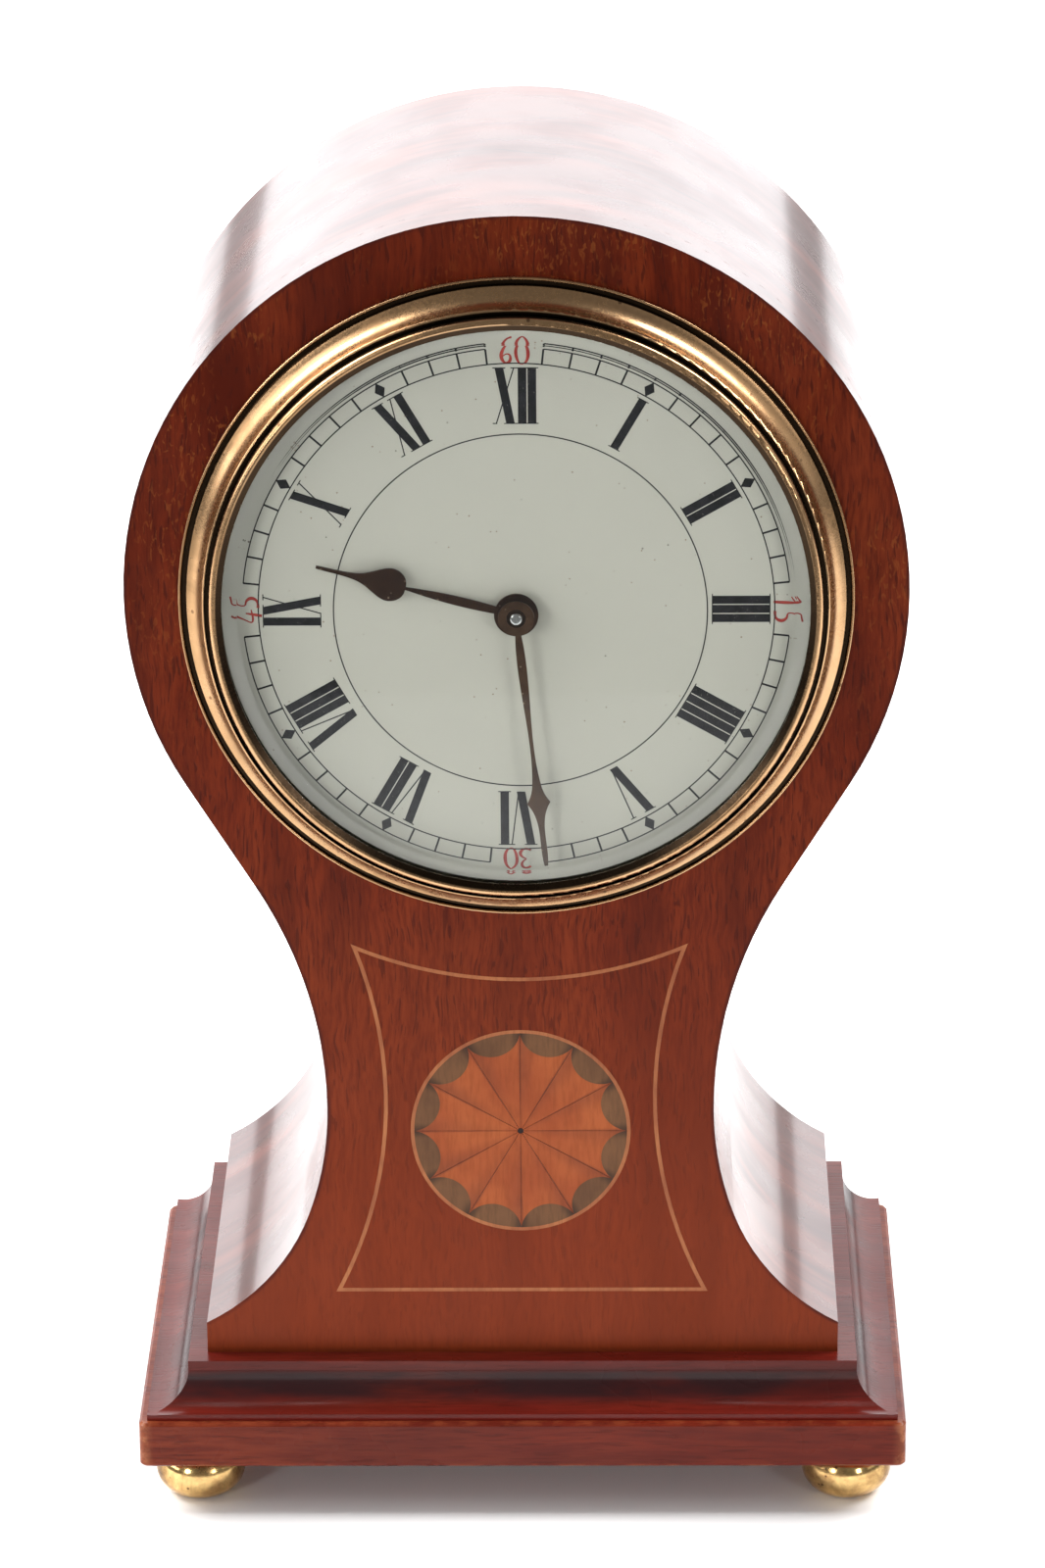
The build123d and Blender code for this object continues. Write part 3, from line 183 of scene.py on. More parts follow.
def mahogany(name, settings, extras=()):
    material, tree, shader = newMaterial(name)
    # the fibres wander a little from side to side
    wander = put(tree, "TexNoise", {"Vector": placed(tree), "Scale": settings["wanderScale"], "Detail": 2.0})
    coords = put(tree, "TexCoord").outputs["Object"]
    centred = put(tree, "VectorMath", {0: wander.outputs["Color"], 1: (0.5, 0.5, 0.5)}, operation="SUBTRACT")
    pushed = put(tree, "VectorMath", {0: centred.outputs[0], "Scale": settings["wander"]}, operation="SCALE")
    bent = put(tree, "VectorMath", {0: coords, 1: pushed.outputs[0]}, operation="ADD").outputs[0]
    stretch = [settings["shorten"] if axis in settings["along"] else 1.0 for axis in "xyz"]
    grain = put(tree, "Mapping", {"Vector": bent, "Scale": stretch}).outputs["Vector"]

    fibre = noise(tree, grain, *settings["fibre"])
    figure = noise(tree, grain, *settings["figure"])
    cloud = noise(tree, placed(tree, shift=settings["shift"]), *settings["cloud"])
    pore = noise(tree, grain, *settings["pore"])

    shades = [settings[shade] for shade in ("dark", "body", "light")]
    colour = ramp(tree, figure, settings["figureStops"], shades)
    colour = mixed(tree, fade(tree, cloud, *settings["glowFade"]), colour, settings["glow"])
    colour = mixed(tree, fade(tree, fibre, *settings["fibreFade"]), colour, settings["dark"])
    poreMask = fade(tree, pore, *settings["poreFade"])
    pores = calc(tree, "MULTIPLY", poreMask, settings["poreDepth"])
    colour = mixed(tree, pores, colour, settings["poreColour"])
    for extra in extras:
        colour = extra(tree, colour)
    tree.links.new(colour, shader.inputs["Base Color"])

    smear = noise(tree, placed(tree), *settings["smear"])
    rough = widened(tree, smear, settings["roughLow"], settings["roughHigh"])
    tree.links.new(rough, shader.inputs["Roughness"])
    shader.inputs["Coat Weight"].default_value = settings["coat"]
    shader.inputs["Coat Roughness"].default_value = settings["coatRough"]
    shader.inputs["Specular IOR Level"].default_value = settings["specular"]
    relief = calc(tree, "SUBTRACT", calc(tree, "MULTIPLY", fibre, settings["fibreHeight"]), poreMask)
    bump(tree, shader, relief, settings["relief"], settings["reliefDepth"] * mm)
    return material


# the arcs of the panel's right side: centre x, centre z, radius, lowest z, highest z
caseOutline = (
    (0.0, 175.1, 68.9, 139.0, 250.0),
    (118.9, 76.4, 84.0, 76.4, 120.0),
    (96.9, 76.4, 62.0, 55.2, 76.4),
    (76.23, 68.88, 40.0, 33.0, 55.2),
)
rimDarkening = {
    "width": (0.2, 0.9), "patches": (160.0, 3.0), "patchFade": (0.35, 0.6, 0.25, 0.85),
    "colour": (0.06, 0.009, 0.006),
}


def darkRim(tree, colour):
    # darker in patches along the very edge of the veneer
    x, y, z = axes(tree)
    side = calc(tree, "ABSOLUTE", x)
    rim = None
    for centreX, centreZ, radius, low, high in caseOutline:
        gap = calc(tree, "SUBTRACT", radiusFrom(tree, side, z, centreX, centreZ), radius * mm)
        near = fadeOver(tree, calc(tree, "ABSOLUTE", gap), *rimDarkening["width"], 1.0, 0.0)
        near = calc(tree, "MULTIPLY", near, between(tree, z, low, high))
        rim = near if rim is None else calc(tree, "MAXIMUM", rim, near)
    worn = fade(tree, noise(tree, placed(tree), *rimDarkening["patches"]), *rimDarkening["patchFade"])
    return mixed(tree, calc(tree, "MULTIPLY", rim, worn), colour, rimDarkening["colour"])


flecks = {
    "stretch": (1.0, 1.0, 0.4), "lean": (0, 0.4, 0), "grain": (1250.0, 1.0, 0.4, 1.2),
    "grainFade": (0.56, 0.7, 0.0, 0.45), "patches": (60.0, 3.0), "patchFade": (0.42, 0.6),
    "height": (125.0, 210.0), "colour": (0.3, 0.08, 0.018),
}


def headFlecks(tree, colour):
    # short bright flecks of figure across the head
    x, y, z = axes(tree)
    fleck = noise(tree, placed(tree, scale=flecks["stretch"], turn=flecks["lean"]), *flecks["grain"])
    patch = fade(tree, noise(tree, placed(tree), *flecks["patches"]), *flecks["patchFade"])
    head = calc(tree, "MULTIPLY", fadeOver(tree, z, *flecks["height"]), patch)
    share = calc(tree, "MULTIPLY", fade(tree, fleck, *flecks["grainFade"]), head)
    return mixed(tree, share, colour, flecks["colour"])


panelFootGlowAndSeam = {
    "crumbs": (420.0, 2.0), "crumbFade": (0.35, 0.55, 0.5, 0.95),
    "seam": (27.7, 28.5), "seamColour": (0.015, 0.004, 0.003),
    "paintedGlow": (27.0, 130.0, 0.6, 0.0), "paintedGlowColour": (0.225, 0.036, 0.009),
}


def footPaintedGlow(tree, colour):
    # painted glow: lighter and warmer towards the foot, where the floor's light falls, and darker along a
    # seam where the panel meets the moulding
    x, y, z = axes(tree)
    crumbs = fade(tree, noise(tree, placed(tree), *panelFootGlowAndSeam["crumbs"]), *panelFootGlowAndSeam["crumbFade"])
    seam = calc(tree, "MULTIPLY", fadeOver(tree, z, *panelFootGlowAndSeam["seam"], 1.0, 0.0), crumbs)
    colour = mixed(tree, seam, colour, panelFootGlowAndSeam["seamColour"])
    # painted glow of the floor's light, fading out above the foot
    return mixed(tree, fadeOver(tree, z, *panelFootGlowAndSeam["paintedGlow"]), colour, panelFootGlowAndSeam["paintedGlowColour"])


crown = {
    "wave": (45.0, 3.0), "waveReach": 12.0, "slope": -0.15, "crackY": -2.0, "crackX": (-12.0, 34.0),
    "above": 230.0, "crackWidth": (0.08, 0.35, 0.8, 0.0),
    "chipStretch": (1, 2.5, 1), "chipScale": 42.0, "chipFade": (0.05, 0.07, 0.8, 0.0),
    "patches": (18.0, 3.0), "patchFade": (0.55, 0.6), "colour": (0.02, 0.006, 0.005),
}


def hairlineCrack(tree, colour):
    # one fine crack along the grain near the crown, and a few small chips in patches
    x, y, z = axes(tree)
    wave = calc(tree, "MULTIPLY", noise(tree, placed(tree), *crown["wave"]), crown["waveReach"] * mm)
    line = calc(tree, "ADD", wave, calc(tree, "MULTIPLY", x, crown["slope"]))
    gap = calc(tree, "SUBTRACT", calc(tree, "SUBTRACT", y, line), crown["crackY"] * mm)
    crack = fadeOver(tree, calc(tree, "ABSOLUTE", gap), *crown["crackWidth"])
    high = calc(tree, "GREATER_THAN", z, crown["above"] * mm)
    reach = calc(tree, "MULTIPLY", between(tree, x, *crown["crackX"]), high)
    crack = calc(tree, "MULTIPLY", crack, reach)
    chips = cells(tree, placed(tree, scale=crown["chipStretch"]), crown["chipScale"])
    patch = fade(tree, noise(tree, placed(tree), *crown["patches"]), *crown["patchFade"])
    chips = calc(tree, "MULTIPLY", fade(tree, chips, *crown["chipFade"]), patch)
    return mixed(tree, calc(tree, "MAXIMUM", crack, chips), colour, crown["colour"])


streaks = {
    "stretch": (0.3, 1.6, 0.3), "noise": (60.0, 3.0, 0.6), "fade": (0.48, 0.72, 0.0, 0.45),
    "colour": (0.24, 0.06, 0.034),
}


def wrapClouds(tree, colour):
    # paler streaks lie across the bent veneer
    streak = noise(tree, placed(tree, scale=streaks["stretch"]), *streaks["noise"])
    return mixed(tree, fade(tree, streak, *streaks["fade"]), colour, streaks["colour"])


hollowShadeLook = {
    "bottom": (19.5, 21.5), "top": (24.5, 26.2), "stretch": (0.35, 1.0, 1.0), "patches": (70.0, 4.0, 0.6),
    "patchFade": (0.32, 0.6), "depth": (0.35, 0.92), "colour": (0.022, 0.008, 0.009),
    "toe": (18.4, 20.0, 0.75, 0.0), "toeColour": (0.16, 0.012, 0.008),
}


def hollowPaintedShade(tree, colour):
    # painted shade: the hollow of the moulding is darkened nearly to black, in patches
    x, y, z = axes(tree)
    fromBottom = fadeOver(tree, z, *hollowShadeLook["bottom"])
    hollow = calc(tree, "MULTIPLY", fromBottom, fadeOver(tree, z, *hollowShadeLook["top"], 1.0, 0.0))
    patches = noise(tree, placed(tree, scale=hollowShadeLook["stretch"]), *hollowShadeLook["patches"])
    patch = fade(tree, fade(tree, patches, *hollowShadeLook["patchFade"]), 0.0, 1.0, *hollowShadeLook["depth"])
    # painted shade in the hollow, then a redder band at the toe
    colour = mixed(tree, calc(tree, "MULTIPLY", hollow, patch), colour, hollowShadeLook["colour"])
    return mixed(tree, fadeOver(tree, z, *hollowShadeLook["toe"]), colour, hollowShadeLook["toeColour"])


slabWearAndHighlight = {
    "side": (67.2, 69.9), "front": (44.5, 47.1),
    "top": (17.7, 18.3, 0.0, 0.4), "bottom": (9.8, 10.4, 0.6, 0.0),
    "patches": (260.0, 4.0, 0.65), "patchFade": (0.42, 0.62), "cornerDepth": (0.3, 1.0),
    "cornerColour": (0.36, 0.13, 0.06), "edgeHighlightColour": (0.26, 0.06, 0.022),
}


def rubbedCornersAndEdgeHighlight(tree, colour):
    # corners rubbed through to lighter wood, and a painted highlight along the top and bottom edges, broken
    # up in patches
    x, y, z = axes(tree)
    side = fadeOver(tree, calc(tree, "ABSOLUTE", x), *slabWearAndHighlight["side"])
    front = fadeOver(tree, calc(tree, "ABSOLUTE", y), *slabWearAndHighlight["front"])
    breakUp = fade(tree, noise(tree, placed(tree), *slabWearAndHighlight["patches"]), *slabWearAndHighlight["patchFade"])
    worn = fade(tree, breakUp, 0.0, 1.0, *slabWearAndHighlight["cornerDepth"])
    corner = calc(tree, "MULTIPLY", calc(tree, "MULTIPLY", side, front), worn)
    colour = mixed(tree, corner, colour, slabWearAndHighlight["cornerColour"])
    # painted highlight: lighter along the top and bottom edges of the slab
    top = fadeOver(tree, z, *slabWearAndHighlight["top"])
    bottom = fadeOver(tree, z, *slabWearAndHighlight["bottom"])
    edge = calc(tree, "MULTIPLY", calc(tree, "MAXIMUM", top, bottom), breakUp)
    return mixed(tree, edge, colour, slabWearAndHighlight["edgeHighlightColour"])


mouldingWood = dict(solidWood, shift=(0.1, 0.7, 0.0))
slabWood = dict(
    solidWood, coat=0.1,
    dark=(0.085, 0.009, 0.005), body=(0.15, 0.017, 0.007), light=(0.195, 0.028, 0.011),
    glow=(0.215, 0.04, 0.015),
)
carcaseWood = dict(
    solidWood, along="z", coat=0.0, roughLow=0.6, roughHigh=0.8,
    dark=(0.16, 0.08, 0.035), body=(0.3, 0.17, 0.085), light=(0.4, 0.25, 0.13), glow=(0.36, 0.21, 0.1),
    poreColour=(0.1, 0.05, 0.03),
)
backWood = dict(
    solidWood, along="z", coat=0.1, roughLow=0.4, roughHigh=0.55,
    body=(0.17, 0.03, 0.014), light=(0.22, 0.045, 0.02),
)

wrapVeneer = mahogany("mahoganyWrap", wrapWood, (wrapClouds, hairlineCrack))
give(mahogany("mahoganyFront", panelWood, (headFlecks, footPaintedGlow, darkRim)), "front_panel")
give(wrapVeneer, "side_wrap")
give(mahogany("mahoganyMoulding", mouldingWood, (hollowPaintedShade,)), "plinth_moulding")
give(mahogany("mahoganySlab", slabWood, (rubbedCornersAndEdgeHighlight,)), "base_slab")
give(mahogany("mahoganyBack", backWood), "back_board")
give(mahogany("carcasePine", carcaseWood), "case_floor")

# the wrap's veneer laps over the panel's outer edge, but not the edges of its hole and of the inlay's beds
panelEdge = {"facingFront": 0.4, "holeZ": 174.1, "holeReach": 57.5, "inlayTop": 125.0, "inlayHalf": 30.0}
panelMesh = nodes["front_panel"].data
panelMesh.materials.append(wrapVeneer)
for face in panelMesh.polygons:
    spot = face.center / mm
    onEdge = abs(face.normal.y) < panelEdge["facingFront"]
    pastHole = math.hypot(spot.x, spot.z - panelEdge["holeZ"]) > panelEdge["holeReach"]
    byInlay = spot.z < panelEdge["inlayTop"] and abs(spot.x) < panelEdge["inlayHalf"]
    if onEdge and pastHole and not byInlay:
        face.material_index = 1
print("case woods done")


# the inlaid woods
inlay = {
    "centreZ": 71.85, "petals": 12,
    "stretch": (1, 1, 0.15), "fibre": (1400.0, 3.0, 0.6), "cloud": (120.0, 3.0),
    "cloudStops": (0.35, 0.65), "fibreFade": (0.4, 0.7, 0.0, 0.35), "fibreShade": 0.6, "rough": (0.3, 0.42),
    "specular": 0.18, "relief": 0.15, "reliefDepth": 0.1,
    "line": ((0.3, 0.09, 0.035), (0.42, 0.15, 0.055)),
    "satinwood": ((0.31, 0.062, 0.015), (0.39, 0.092, 0.023)),
    "green": ((0.12, 0.052, 0.022), (0.17, 0.075, 0.03)),
    "scorched": ((0.015, 0.006, 0.005), (0.03, 0.012, 0.009)),
}


def inlayWood(name, colours, shading=None):
    material, tree, shader = newMaterial(name)
    fibre = noise(tree, placed(tree, scale=inlay["stretch"]), *inlay["fibre"])
    cloud = noise(tree, placed(tree), *inlay["cloud"])
    colour = ramp(tree, cloud, inlay["cloudStops"], colours)
    darker = [channel * inlay["fibreShade"] for channel in colours[0]]
    colour = mixed(tree, fade(tree, fibre, *inlay["fibreFade"]), colour, darker)
    if shading:
        colour = shading(tree, colour)
    tree.links.new(colour, shader.inputs["Base Color"])
    tree.links.new(widened(tree, fibre, *inlay["rough"]), shader.inputs["Roughness"])
    shader.inputs["Specular IOR Level"].default_value = inlay["specular"]
    bump(tree, shader, fibre, inlay["relief"], inlay["reliefDepth"] * mm)
    return material


def petalShare(tree, x, z):
    # how far across its petal a point lies, from 0 to 1, and how far from the nearer seam
    turn = angleAbout(tree, x, z, inlay["centreZ"])
    count = calc(tree, "DIVIDE", turn, 2 * math.pi / inlay["petals"])
    share = calc(tree, "FRACT", calc(tree, "ADD", count, 2.0 * inlay["petals"]))
    return share, calc(tree, "MINIMUM", share, calc(tree, "SUBTRACT", 1.0, share))


scorching = {
    "outward": (2.0, 19.0), "outwardDepth": (0.25, 0.55),
    "sideFade": (0.5, 1.0), "seamFade": (0.0, 0.07, 0.75, 0.0),
    "patches": (210.0, 3.0), "patchFade": (0.25, 0.7, 0.55, 1.0), "colour": (0.13, 0.03, 0.014),
}


def sandShaded(tree, colour):
    # each petal is scorched darker towards one of its seams and towards its tip
    x, y, z = axes(tree)
    share, fromSeam = petalShare(tree, x, z)
    outward = fadeOver(tree, radiusFrom(tree, x, z, 0.0, inlay["centreZ"]), *scorching["outward"])
    deeper = fade(tree, outward, 0.0, 1.0, *scorching["outwardDepth"])
    wide = calc(tree, "MULTIPLY", fade(tree, share, *scorching["sideFade"]), deeper)
    scorch = calc(tree, "MAXIMUM", wide, fade(tree, fromSeam, *scorching["seamFade"]))
    patchy = fade(tree, noise(tree, placed(tree), *scorching["patches"]), *scorching["patchFade"])
    return mixed(tree, calc(tree, "MULTIPLY", scorch, patchy), colour, scorching["colour"])


lunetteSeam = {"fade": (0.0, 0.2, 0.8, 0.0), "colour": (0.03, 0.014, 0.008)}


def lunetteShade(tree, colour):
    # darker where neighbouring lunettes meet at the ring
    x, y, z = axes(tree)
    fromSeam = petalShare(tree, x, z)[1]
    return mixed(tree, fade(tree, fromSeam, *lunetteSeam["fade"]), colour, lunetteSeam["colour"])


give(inlayWood("boxwoodLine", inlay["line"]), "inlay_line", "inlay_ring")
give(inlayWood("satinwoodPetals", inlay["satinwood"], sandShaded), "inlay_petals")
give(inlayWood("greenLunettes", inlay["green"], lunetteShade), "inlay_lunettes")
give(inlayWood("scorchedDot", inlay["scorched"]), "inlay_dot")
print("inlay done")


# the metals
brass = {
    "clean": (0.8, 0.52, 0.25), "mid": (0.7, 0.43, 0.19), "dull": (0.46, 0.28, 0.12),
    "tarnish": (60.0, 5.0, 0.65, 0.3), "tarnishStops": (0.35, 0.56, 0.76), "fine": (1800.0, 3.0, 0.6),
    "spotColour": (0.12, 0.06, 0.03), "spotScale": 300.0, "spotSize": (0.07, 0.14), "spotDepth": 0.7,
    "tarnishFade": (0.35, 0.75), "roughLow": 0.12, "roughHigh": 0.27, "fineRough": 0.06,
    "relief": 0.12, "reliefDepth": 0.04,
}
footBrass = dict(
    brass, clean=(0.95, 0.66, 0.27), mid=(0.5, 0.3, 0.12), dull=(0.07, 0.035, 0.015),
    tarnish=(170.0, 5.0, 0.65, 0.3), spotScale=420.0, spotDepth=0.95, roughLow=0.1, roughHigh=0.32,
)
workBrass = dict(
    brass, clean=(0.7, 0.5, 0.24), mid=(0.66, 0.46, 0.21), dull=(0.56, 0.38, 0.17),
    spotDepth=0.3, roughLow=0.24, roughHigh=0.36,
)
blackBrass = dict(
    brass, clean=(0.03, 0.028, 0.02), mid=(0.022, 0.02, 0.015), dull=(0.014, 0.012, 0.01),
    spotDepth=0.2, roughLow=0.3, roughHigh=0.45,
)
bezelBrass = dict(
    brass, clean=(0.6, 0.375, 0.2), mid=(0.52, 0.31, 0.155), dull=(0.34, 0.2, 0.095),
    roughLow=0.2, roughHigh=0.32, relief=0.1,
)
steel = dict(
    brass, clean=(0.56, 0.57, 0.58), mid=(0.5, 0.5, 0.5), dull=(0.3, 0.28, 0.26),
    tarnish=(120.0, 5.0, 0.65, 0.3), fine=(2600.0, 3.0, 0.6),
    spotColour=(0.12, 0.07, 0.05), spotScale=500.0, spotDepth=0.4, roughLow=0.14, roughHigh=0.3, relief=0.1,
)
bluedSteel = dict(steel, clean=(0.03, 0.05, 0.16), mid=(0.035, 0.04, 0.1), dull=(0.05, 0.04, 0.05))
hourHandMetal = dict(
    steel, clean=(0.055, 0.028, 0.018), mid=(0.04, 0.02, 0.014), dull=(0.02, 0.012, 0.01),
    spotColour=(0.34, 0.24, 0.17), spotScale=650.0, spotDepth=0.7, roughLow=0.32, roughHigh=0.5,
)
minuteHandMetal = dict(
    hourHandMetal, clean=(0.11, 0.062, 0.038), mid=(0.065, 0.036, 0.022), dull=(0.03, 0.017, 0.012),
)


def metal(name, settings, extra=None, lines=None):
    material, tree, shader = newMaterial(name)
    tarnish = noise(tree, placed(tree), *settings["tarnish"])
    fine = noise(tree, placed(tree), *settings["fine"])
    shades = [settings[shade] for shade in ("clean", "mid", "dull")]
    colour = ramp(tree, tarnish, settings["tarnishStops"], shades)
    spots = cells(tree, placed(tree), settings["spotScale"])
    spots = fade(tree, spots, *settings["spotSize"], settings["spotDepth"], 0.0)
    colour = mixed(tree, spots, colour, settings["spotColour"])
    if extra:
        colour = extra(tree, colour)
    tree.links.new(colour, shader.inputs["Base Color"])
    shader.inputs["Metallic"].default_value = 1.0
    rough = fade(tree, tarnish, *settings["tarnishFade"], settings["roughLow"], settings["roughHigh"])
    rough = calc(tree, "ADD", rough, widened(tree, fine, 0.0, settings["fineRough"]))
    tree.links.new(rough, shader.inputs["Roughness"])
    height = lines(tree, fine) if lines else fine
    bump(tree, shader, height, settings["relief"], settings["reliefDepth"] * mm)
    return material


pipeTip = {"frontOf": -38.2, "colour": (0.05, 0.027, 0.017)}


def brownedTip(tree, colour):
    # the pipe under the hands is browned where it comes through them
    x, y, z = axes(tree)
    return mixed(tree, calc(tree, "LESS_THAN", y, pipeTip["frontOf"] * mm), colour, pipeTip["colour"])


bezelTurning = {
    "centreZ": 174.1, "perMetre": 900.0, "aroundShare": 0.8, "rings": (4.0, 2.0, 0.5), "ringHeight": 1.6,
    # each groove's middle radius, half width and depth of dirt and painted shade
    "grooves": ((58.3, 0.36, 0.95), (54.1, 0.33, 0.95), (51.9, 0.45, 0.97)),
    "softEdge": 1.7, "frontOf": -36.0, "lipRadius": 53.6, "lipSlope": (-42.1, -41.8),
    "tubeRadius": 55.6, "tubeBehind": -38.0, "dirtAndShade": (0.014, 0.009, 0.006),
}


def turnedLines(tree, height):
    # fine rings left by the lathe
    x, y, z = axes(tree)
    radius = radiusFrom(tree, x, z, 0.0, bezelTurning["centreZ"])
    turn = angleAbout(tree, x, z, bezelTurning["centreZ"])
    outward = calc(tree, "MULTIPLY", calc(tree, "ADD", radius, y), bezelTurning["perMetre"])
    around = calc(tree, "MULTIPLY", turn, bezelTurning["aroundShare"])
    spun = put(tree, "CombineXYZ", {"X": outward, "Y": around}).outputs[0]
    rings = noise(tree, spun, *bezelTurning["rings"])
    return calc(tree, "ADD", calc(tree, "MULTIPLY", rings, bezelTurning["ringHeight"]), height)


def bezelGrooveDirtAndShade(tree, colour):
    # black dirt lies in the outer turned grooves; painted shade darkens the innermost groove, the lip's
    # inner slope and the tube behind it
    x, y, z = axes(tree)
    radius = radiusFrom(tree, x, z, 0.0, bezelTurning["centreZ"])
    dirtAndShade = None
    for middle, half, depth in bezelTurning["grooves"]:
        gap = calc(tree, "ABSOLUTE", calc(tree, "SUBTRACT", radius, middle * mm))
        near = fadeOver(tree, gap, half, half * bezelTurning["softEdge"], depth, 0.0)
        dirtAndShade = near if dirtAndShade is None else calc(tree, "MAXIMUM", dirtAndShade, near)
    dirtAndShade = calc(tree, "MULTIPLY", dirtAndShade, calc(tree, "LESS_THAN", y, bezelTurning["frontOf"] * mm))
    # painted shade of the bezel's inner wall, on the lip's slope and down the tube
    insideLip = calc(tree, "LESS_THAN", radius, bezelTurning["lipRadius"] * mm)
    lip = calc(tree, "MULTIPLY", insideLip, fadeOver(tree, y, *bezelTurning["lipSlope"]))
    insideTube = calc(tree, "LESS_THAN", radius, bezelTurning["tubeRadius"] * mm)
    tube = calc(tree, "MULTIPLY", insideTube, calc(tree, "GREATER_THAN", y, bezelTurning["tubeBehind"] * mm))
    dirtAndShade = calc(tree, "MAXIMUM", dirtAndShade, calc(tree, "MAXIMUM", lip, tube))
    return mixed(tree, dirtAndShade, colour, bezelTurning["dirtAndShade"])


give(metal("bezelBrass", bezelBrass, bezelGrooveDirtAndShade, turnedLines), "bezel")
give(metal("footBrass", footBrass), "bun_feet")
give(metal("blackenedBrass", blackBrass), "crystal_ring")
give(
    metal("movementBrass", workBrass),
    "dial_feet", "minute_wheel", "hour_wheel", "seat_ring", "front_plate", "rear_plate", "pillars",
    "barrel", "barrel_cap", "intermediate_wheel", "centre_wheel", "third_wheel", "fourth_wheel",
    "escape_wheel", "escape_cock", "balance_wheel", "balance_cock", "set_knob",
    "door_ring", "back_door", "door_knob", "back_screws",
)
give(metal("pipeSteel", steel, brownedTip), "cannon_pinion")
give(
    metal("polishedSteel", steel),
    "barrel_arbor", "ratchet_wheel", "click", "click_spring", "intermediate_pinion", "centre_arbor",
    "third_pinion", "fourth_pinion", "escape_pinion", "pallet_lever", "balance_staff", "regulator",
    "door_pin", "foot_screws", "seat_screws",
)
give(metal("bluedSteel", bluedSteel), "plate_screws", "click_screw", "hairspring", "mainspring")
give(metal("hourHandMetal", hourHandMetal), "hour_hand")
give(metal("minuteHandMetal", minuteHandMetal), "minute_hand")
print("metals done")


# the dial's enamel and inks, and the glass
enamelLook = {
    "cloud": (11.0, 0.0), "cloudStops": (0.2, 0.8), "cream": ((0.495, 0.48, 0.42), (0.525, 0.51, 0.45)),
    "speckScale": 480.0, "speckSize": (0.05, 0.1, 0.8, 0.0), "speckPatches": (300.0, 2.0, 0.6),
    "speckPatchFade": (0.4, 0.62), "speckColour": (0.2, 0.1, 0.06),
    "dotScale": 260.0, "dotSize": (0.035, 0.06, 0.85, 0.0), "dotPatches": (90.0, 3.0),
    "dotPatchFade": (0.4, 0.65), "dotColour": (0.06, 0.04, 0.03),
    "dotShift": (0.4, 0.2, 0.1), "dotPatchShift": (0.5, 0.5, 0.5), "rough": 0.28,
}


def enamel():
    look = enamelLook
    material, tree, shader = newMaterial("dialEnamel")
    colour = ramp(tree, noise(tree, placed(tree), *look["cloud"]), look["cloudStops"], look["cream"])
    # rusty specks and a few darker dots, both in patches
    specks = fade(tree, cells(tree, placed(tree), look["speckScale"]), *look["speckSize"])
    where = fade(tree, noise(tree, placed(tree), *look["speckPatches"]), *look["speckPatchFade"])
    colour = mixed(tree, calc(tree, "MULTIPLY", specks, where), colour, look["speckColour"])
    dots = fade(tree, cells(tree, placed(tree, shift=look["dotShift"]), look["dotScale"]), *look["dotSize"])
    where = noise(tree, placed(tree, shift=look["dotPatchShift"]), *look["dotPatches"])
    dots = calc(tree, "MULTIPLY", dots, fade(tree, where, *look["dotPatchFade"]))
    colour = mixed(tree, dots, colour, look["dotColour"])
    tree.links.new(colour, shader.inputs["Base Color"])
    shader.inputs["Roughness"].default_value = look["rough"]
    return material


inkLook = {
    "cloud": (700.0, 3.0), "chipScale": 2300.0, "chipSize": (0.08, 0.16, 1.0, 0.0),
    "chipPatches": (500.0, 2.0), "chipPatchFade": (0.5, 0.62), "bare": (0.45, 0.45, 0.4),
    "rough": (0.4, 0.55), "specular": 0.1,
}


def ink(name, dark, pale, chipped):
    material, tree, shader = newMaterial(name)
    cloud = noise(tree, placed(tree), *inkLook["cloud"])
    chips = fade(tree, cells(tree, placed(tree), inkLook["chipScale"]), *inkLook["chipSize"])
    where = noise(tree, placed(tree), *inkLook["chipPatches"])
    where = fade(tree, where, *inkLook["chipPatchFade"], 0.0, chipped)
    colour = mixed(tree, widened(tree, cloud), dark, pale)
    colour = mixed(tree, calc(tree, "MULTIPLY", chips, where), colour, inkLook["bare"])
    tree.links.new(colour, shader.inputs["Base Color"])
    tree.links.new(widened(tree, cloud, *inkLook["rough"]), shader.inputs["Roughness"])
    shader.inputs["Specular IOR Level"].default_value = inkLook["specular"]
    return material


glassLook = {"tint": (0.97, 0.99, 0.975, 1.0), "refraction": 1.5, "shadowTint": (0.95, 0.96, 0.95, 1.0)}


def clearGlass():
    material, tree, shader = newMaterial("clockGlass")
    shader.inputs["Base Color"].default_value = glassLook["tint"]
    shader.inputs["Transmission Weight"].default_value = 1.0
    shader.inputs["IOR"].default_value = glassLook["refraction"]
    shader.inputs["Roughness"].default_value = 0.0
    # lamps shine straight through to the dial
    rays = put(tree, "LightPath")
    clear = put(tree, "BsdfTransparent", {"Color": glassLook["shadowTint"]})
    sockets = {0: rays.outputs["Is Shadow Ray"], 1: shader.outputs[0], 2: clear.outputs[0]}
    both = put(tree, "MixShader", sockets)
    tree.links.new(both.outputs[0], tree.nodes["Material Output"].inputs["Surface"])
    return material


give(enamel(), "dial")
give(clearGlass(), "crystal")
blackInk = ink("blackNumerals", (0.008, 0.008, 0.01), (0.016, 0.016, 0.02), 0.7)
redInk = ink("redFigures", (0.33, 0.03, 0.025), (0.42, 0.055, 0.045), 0.5)

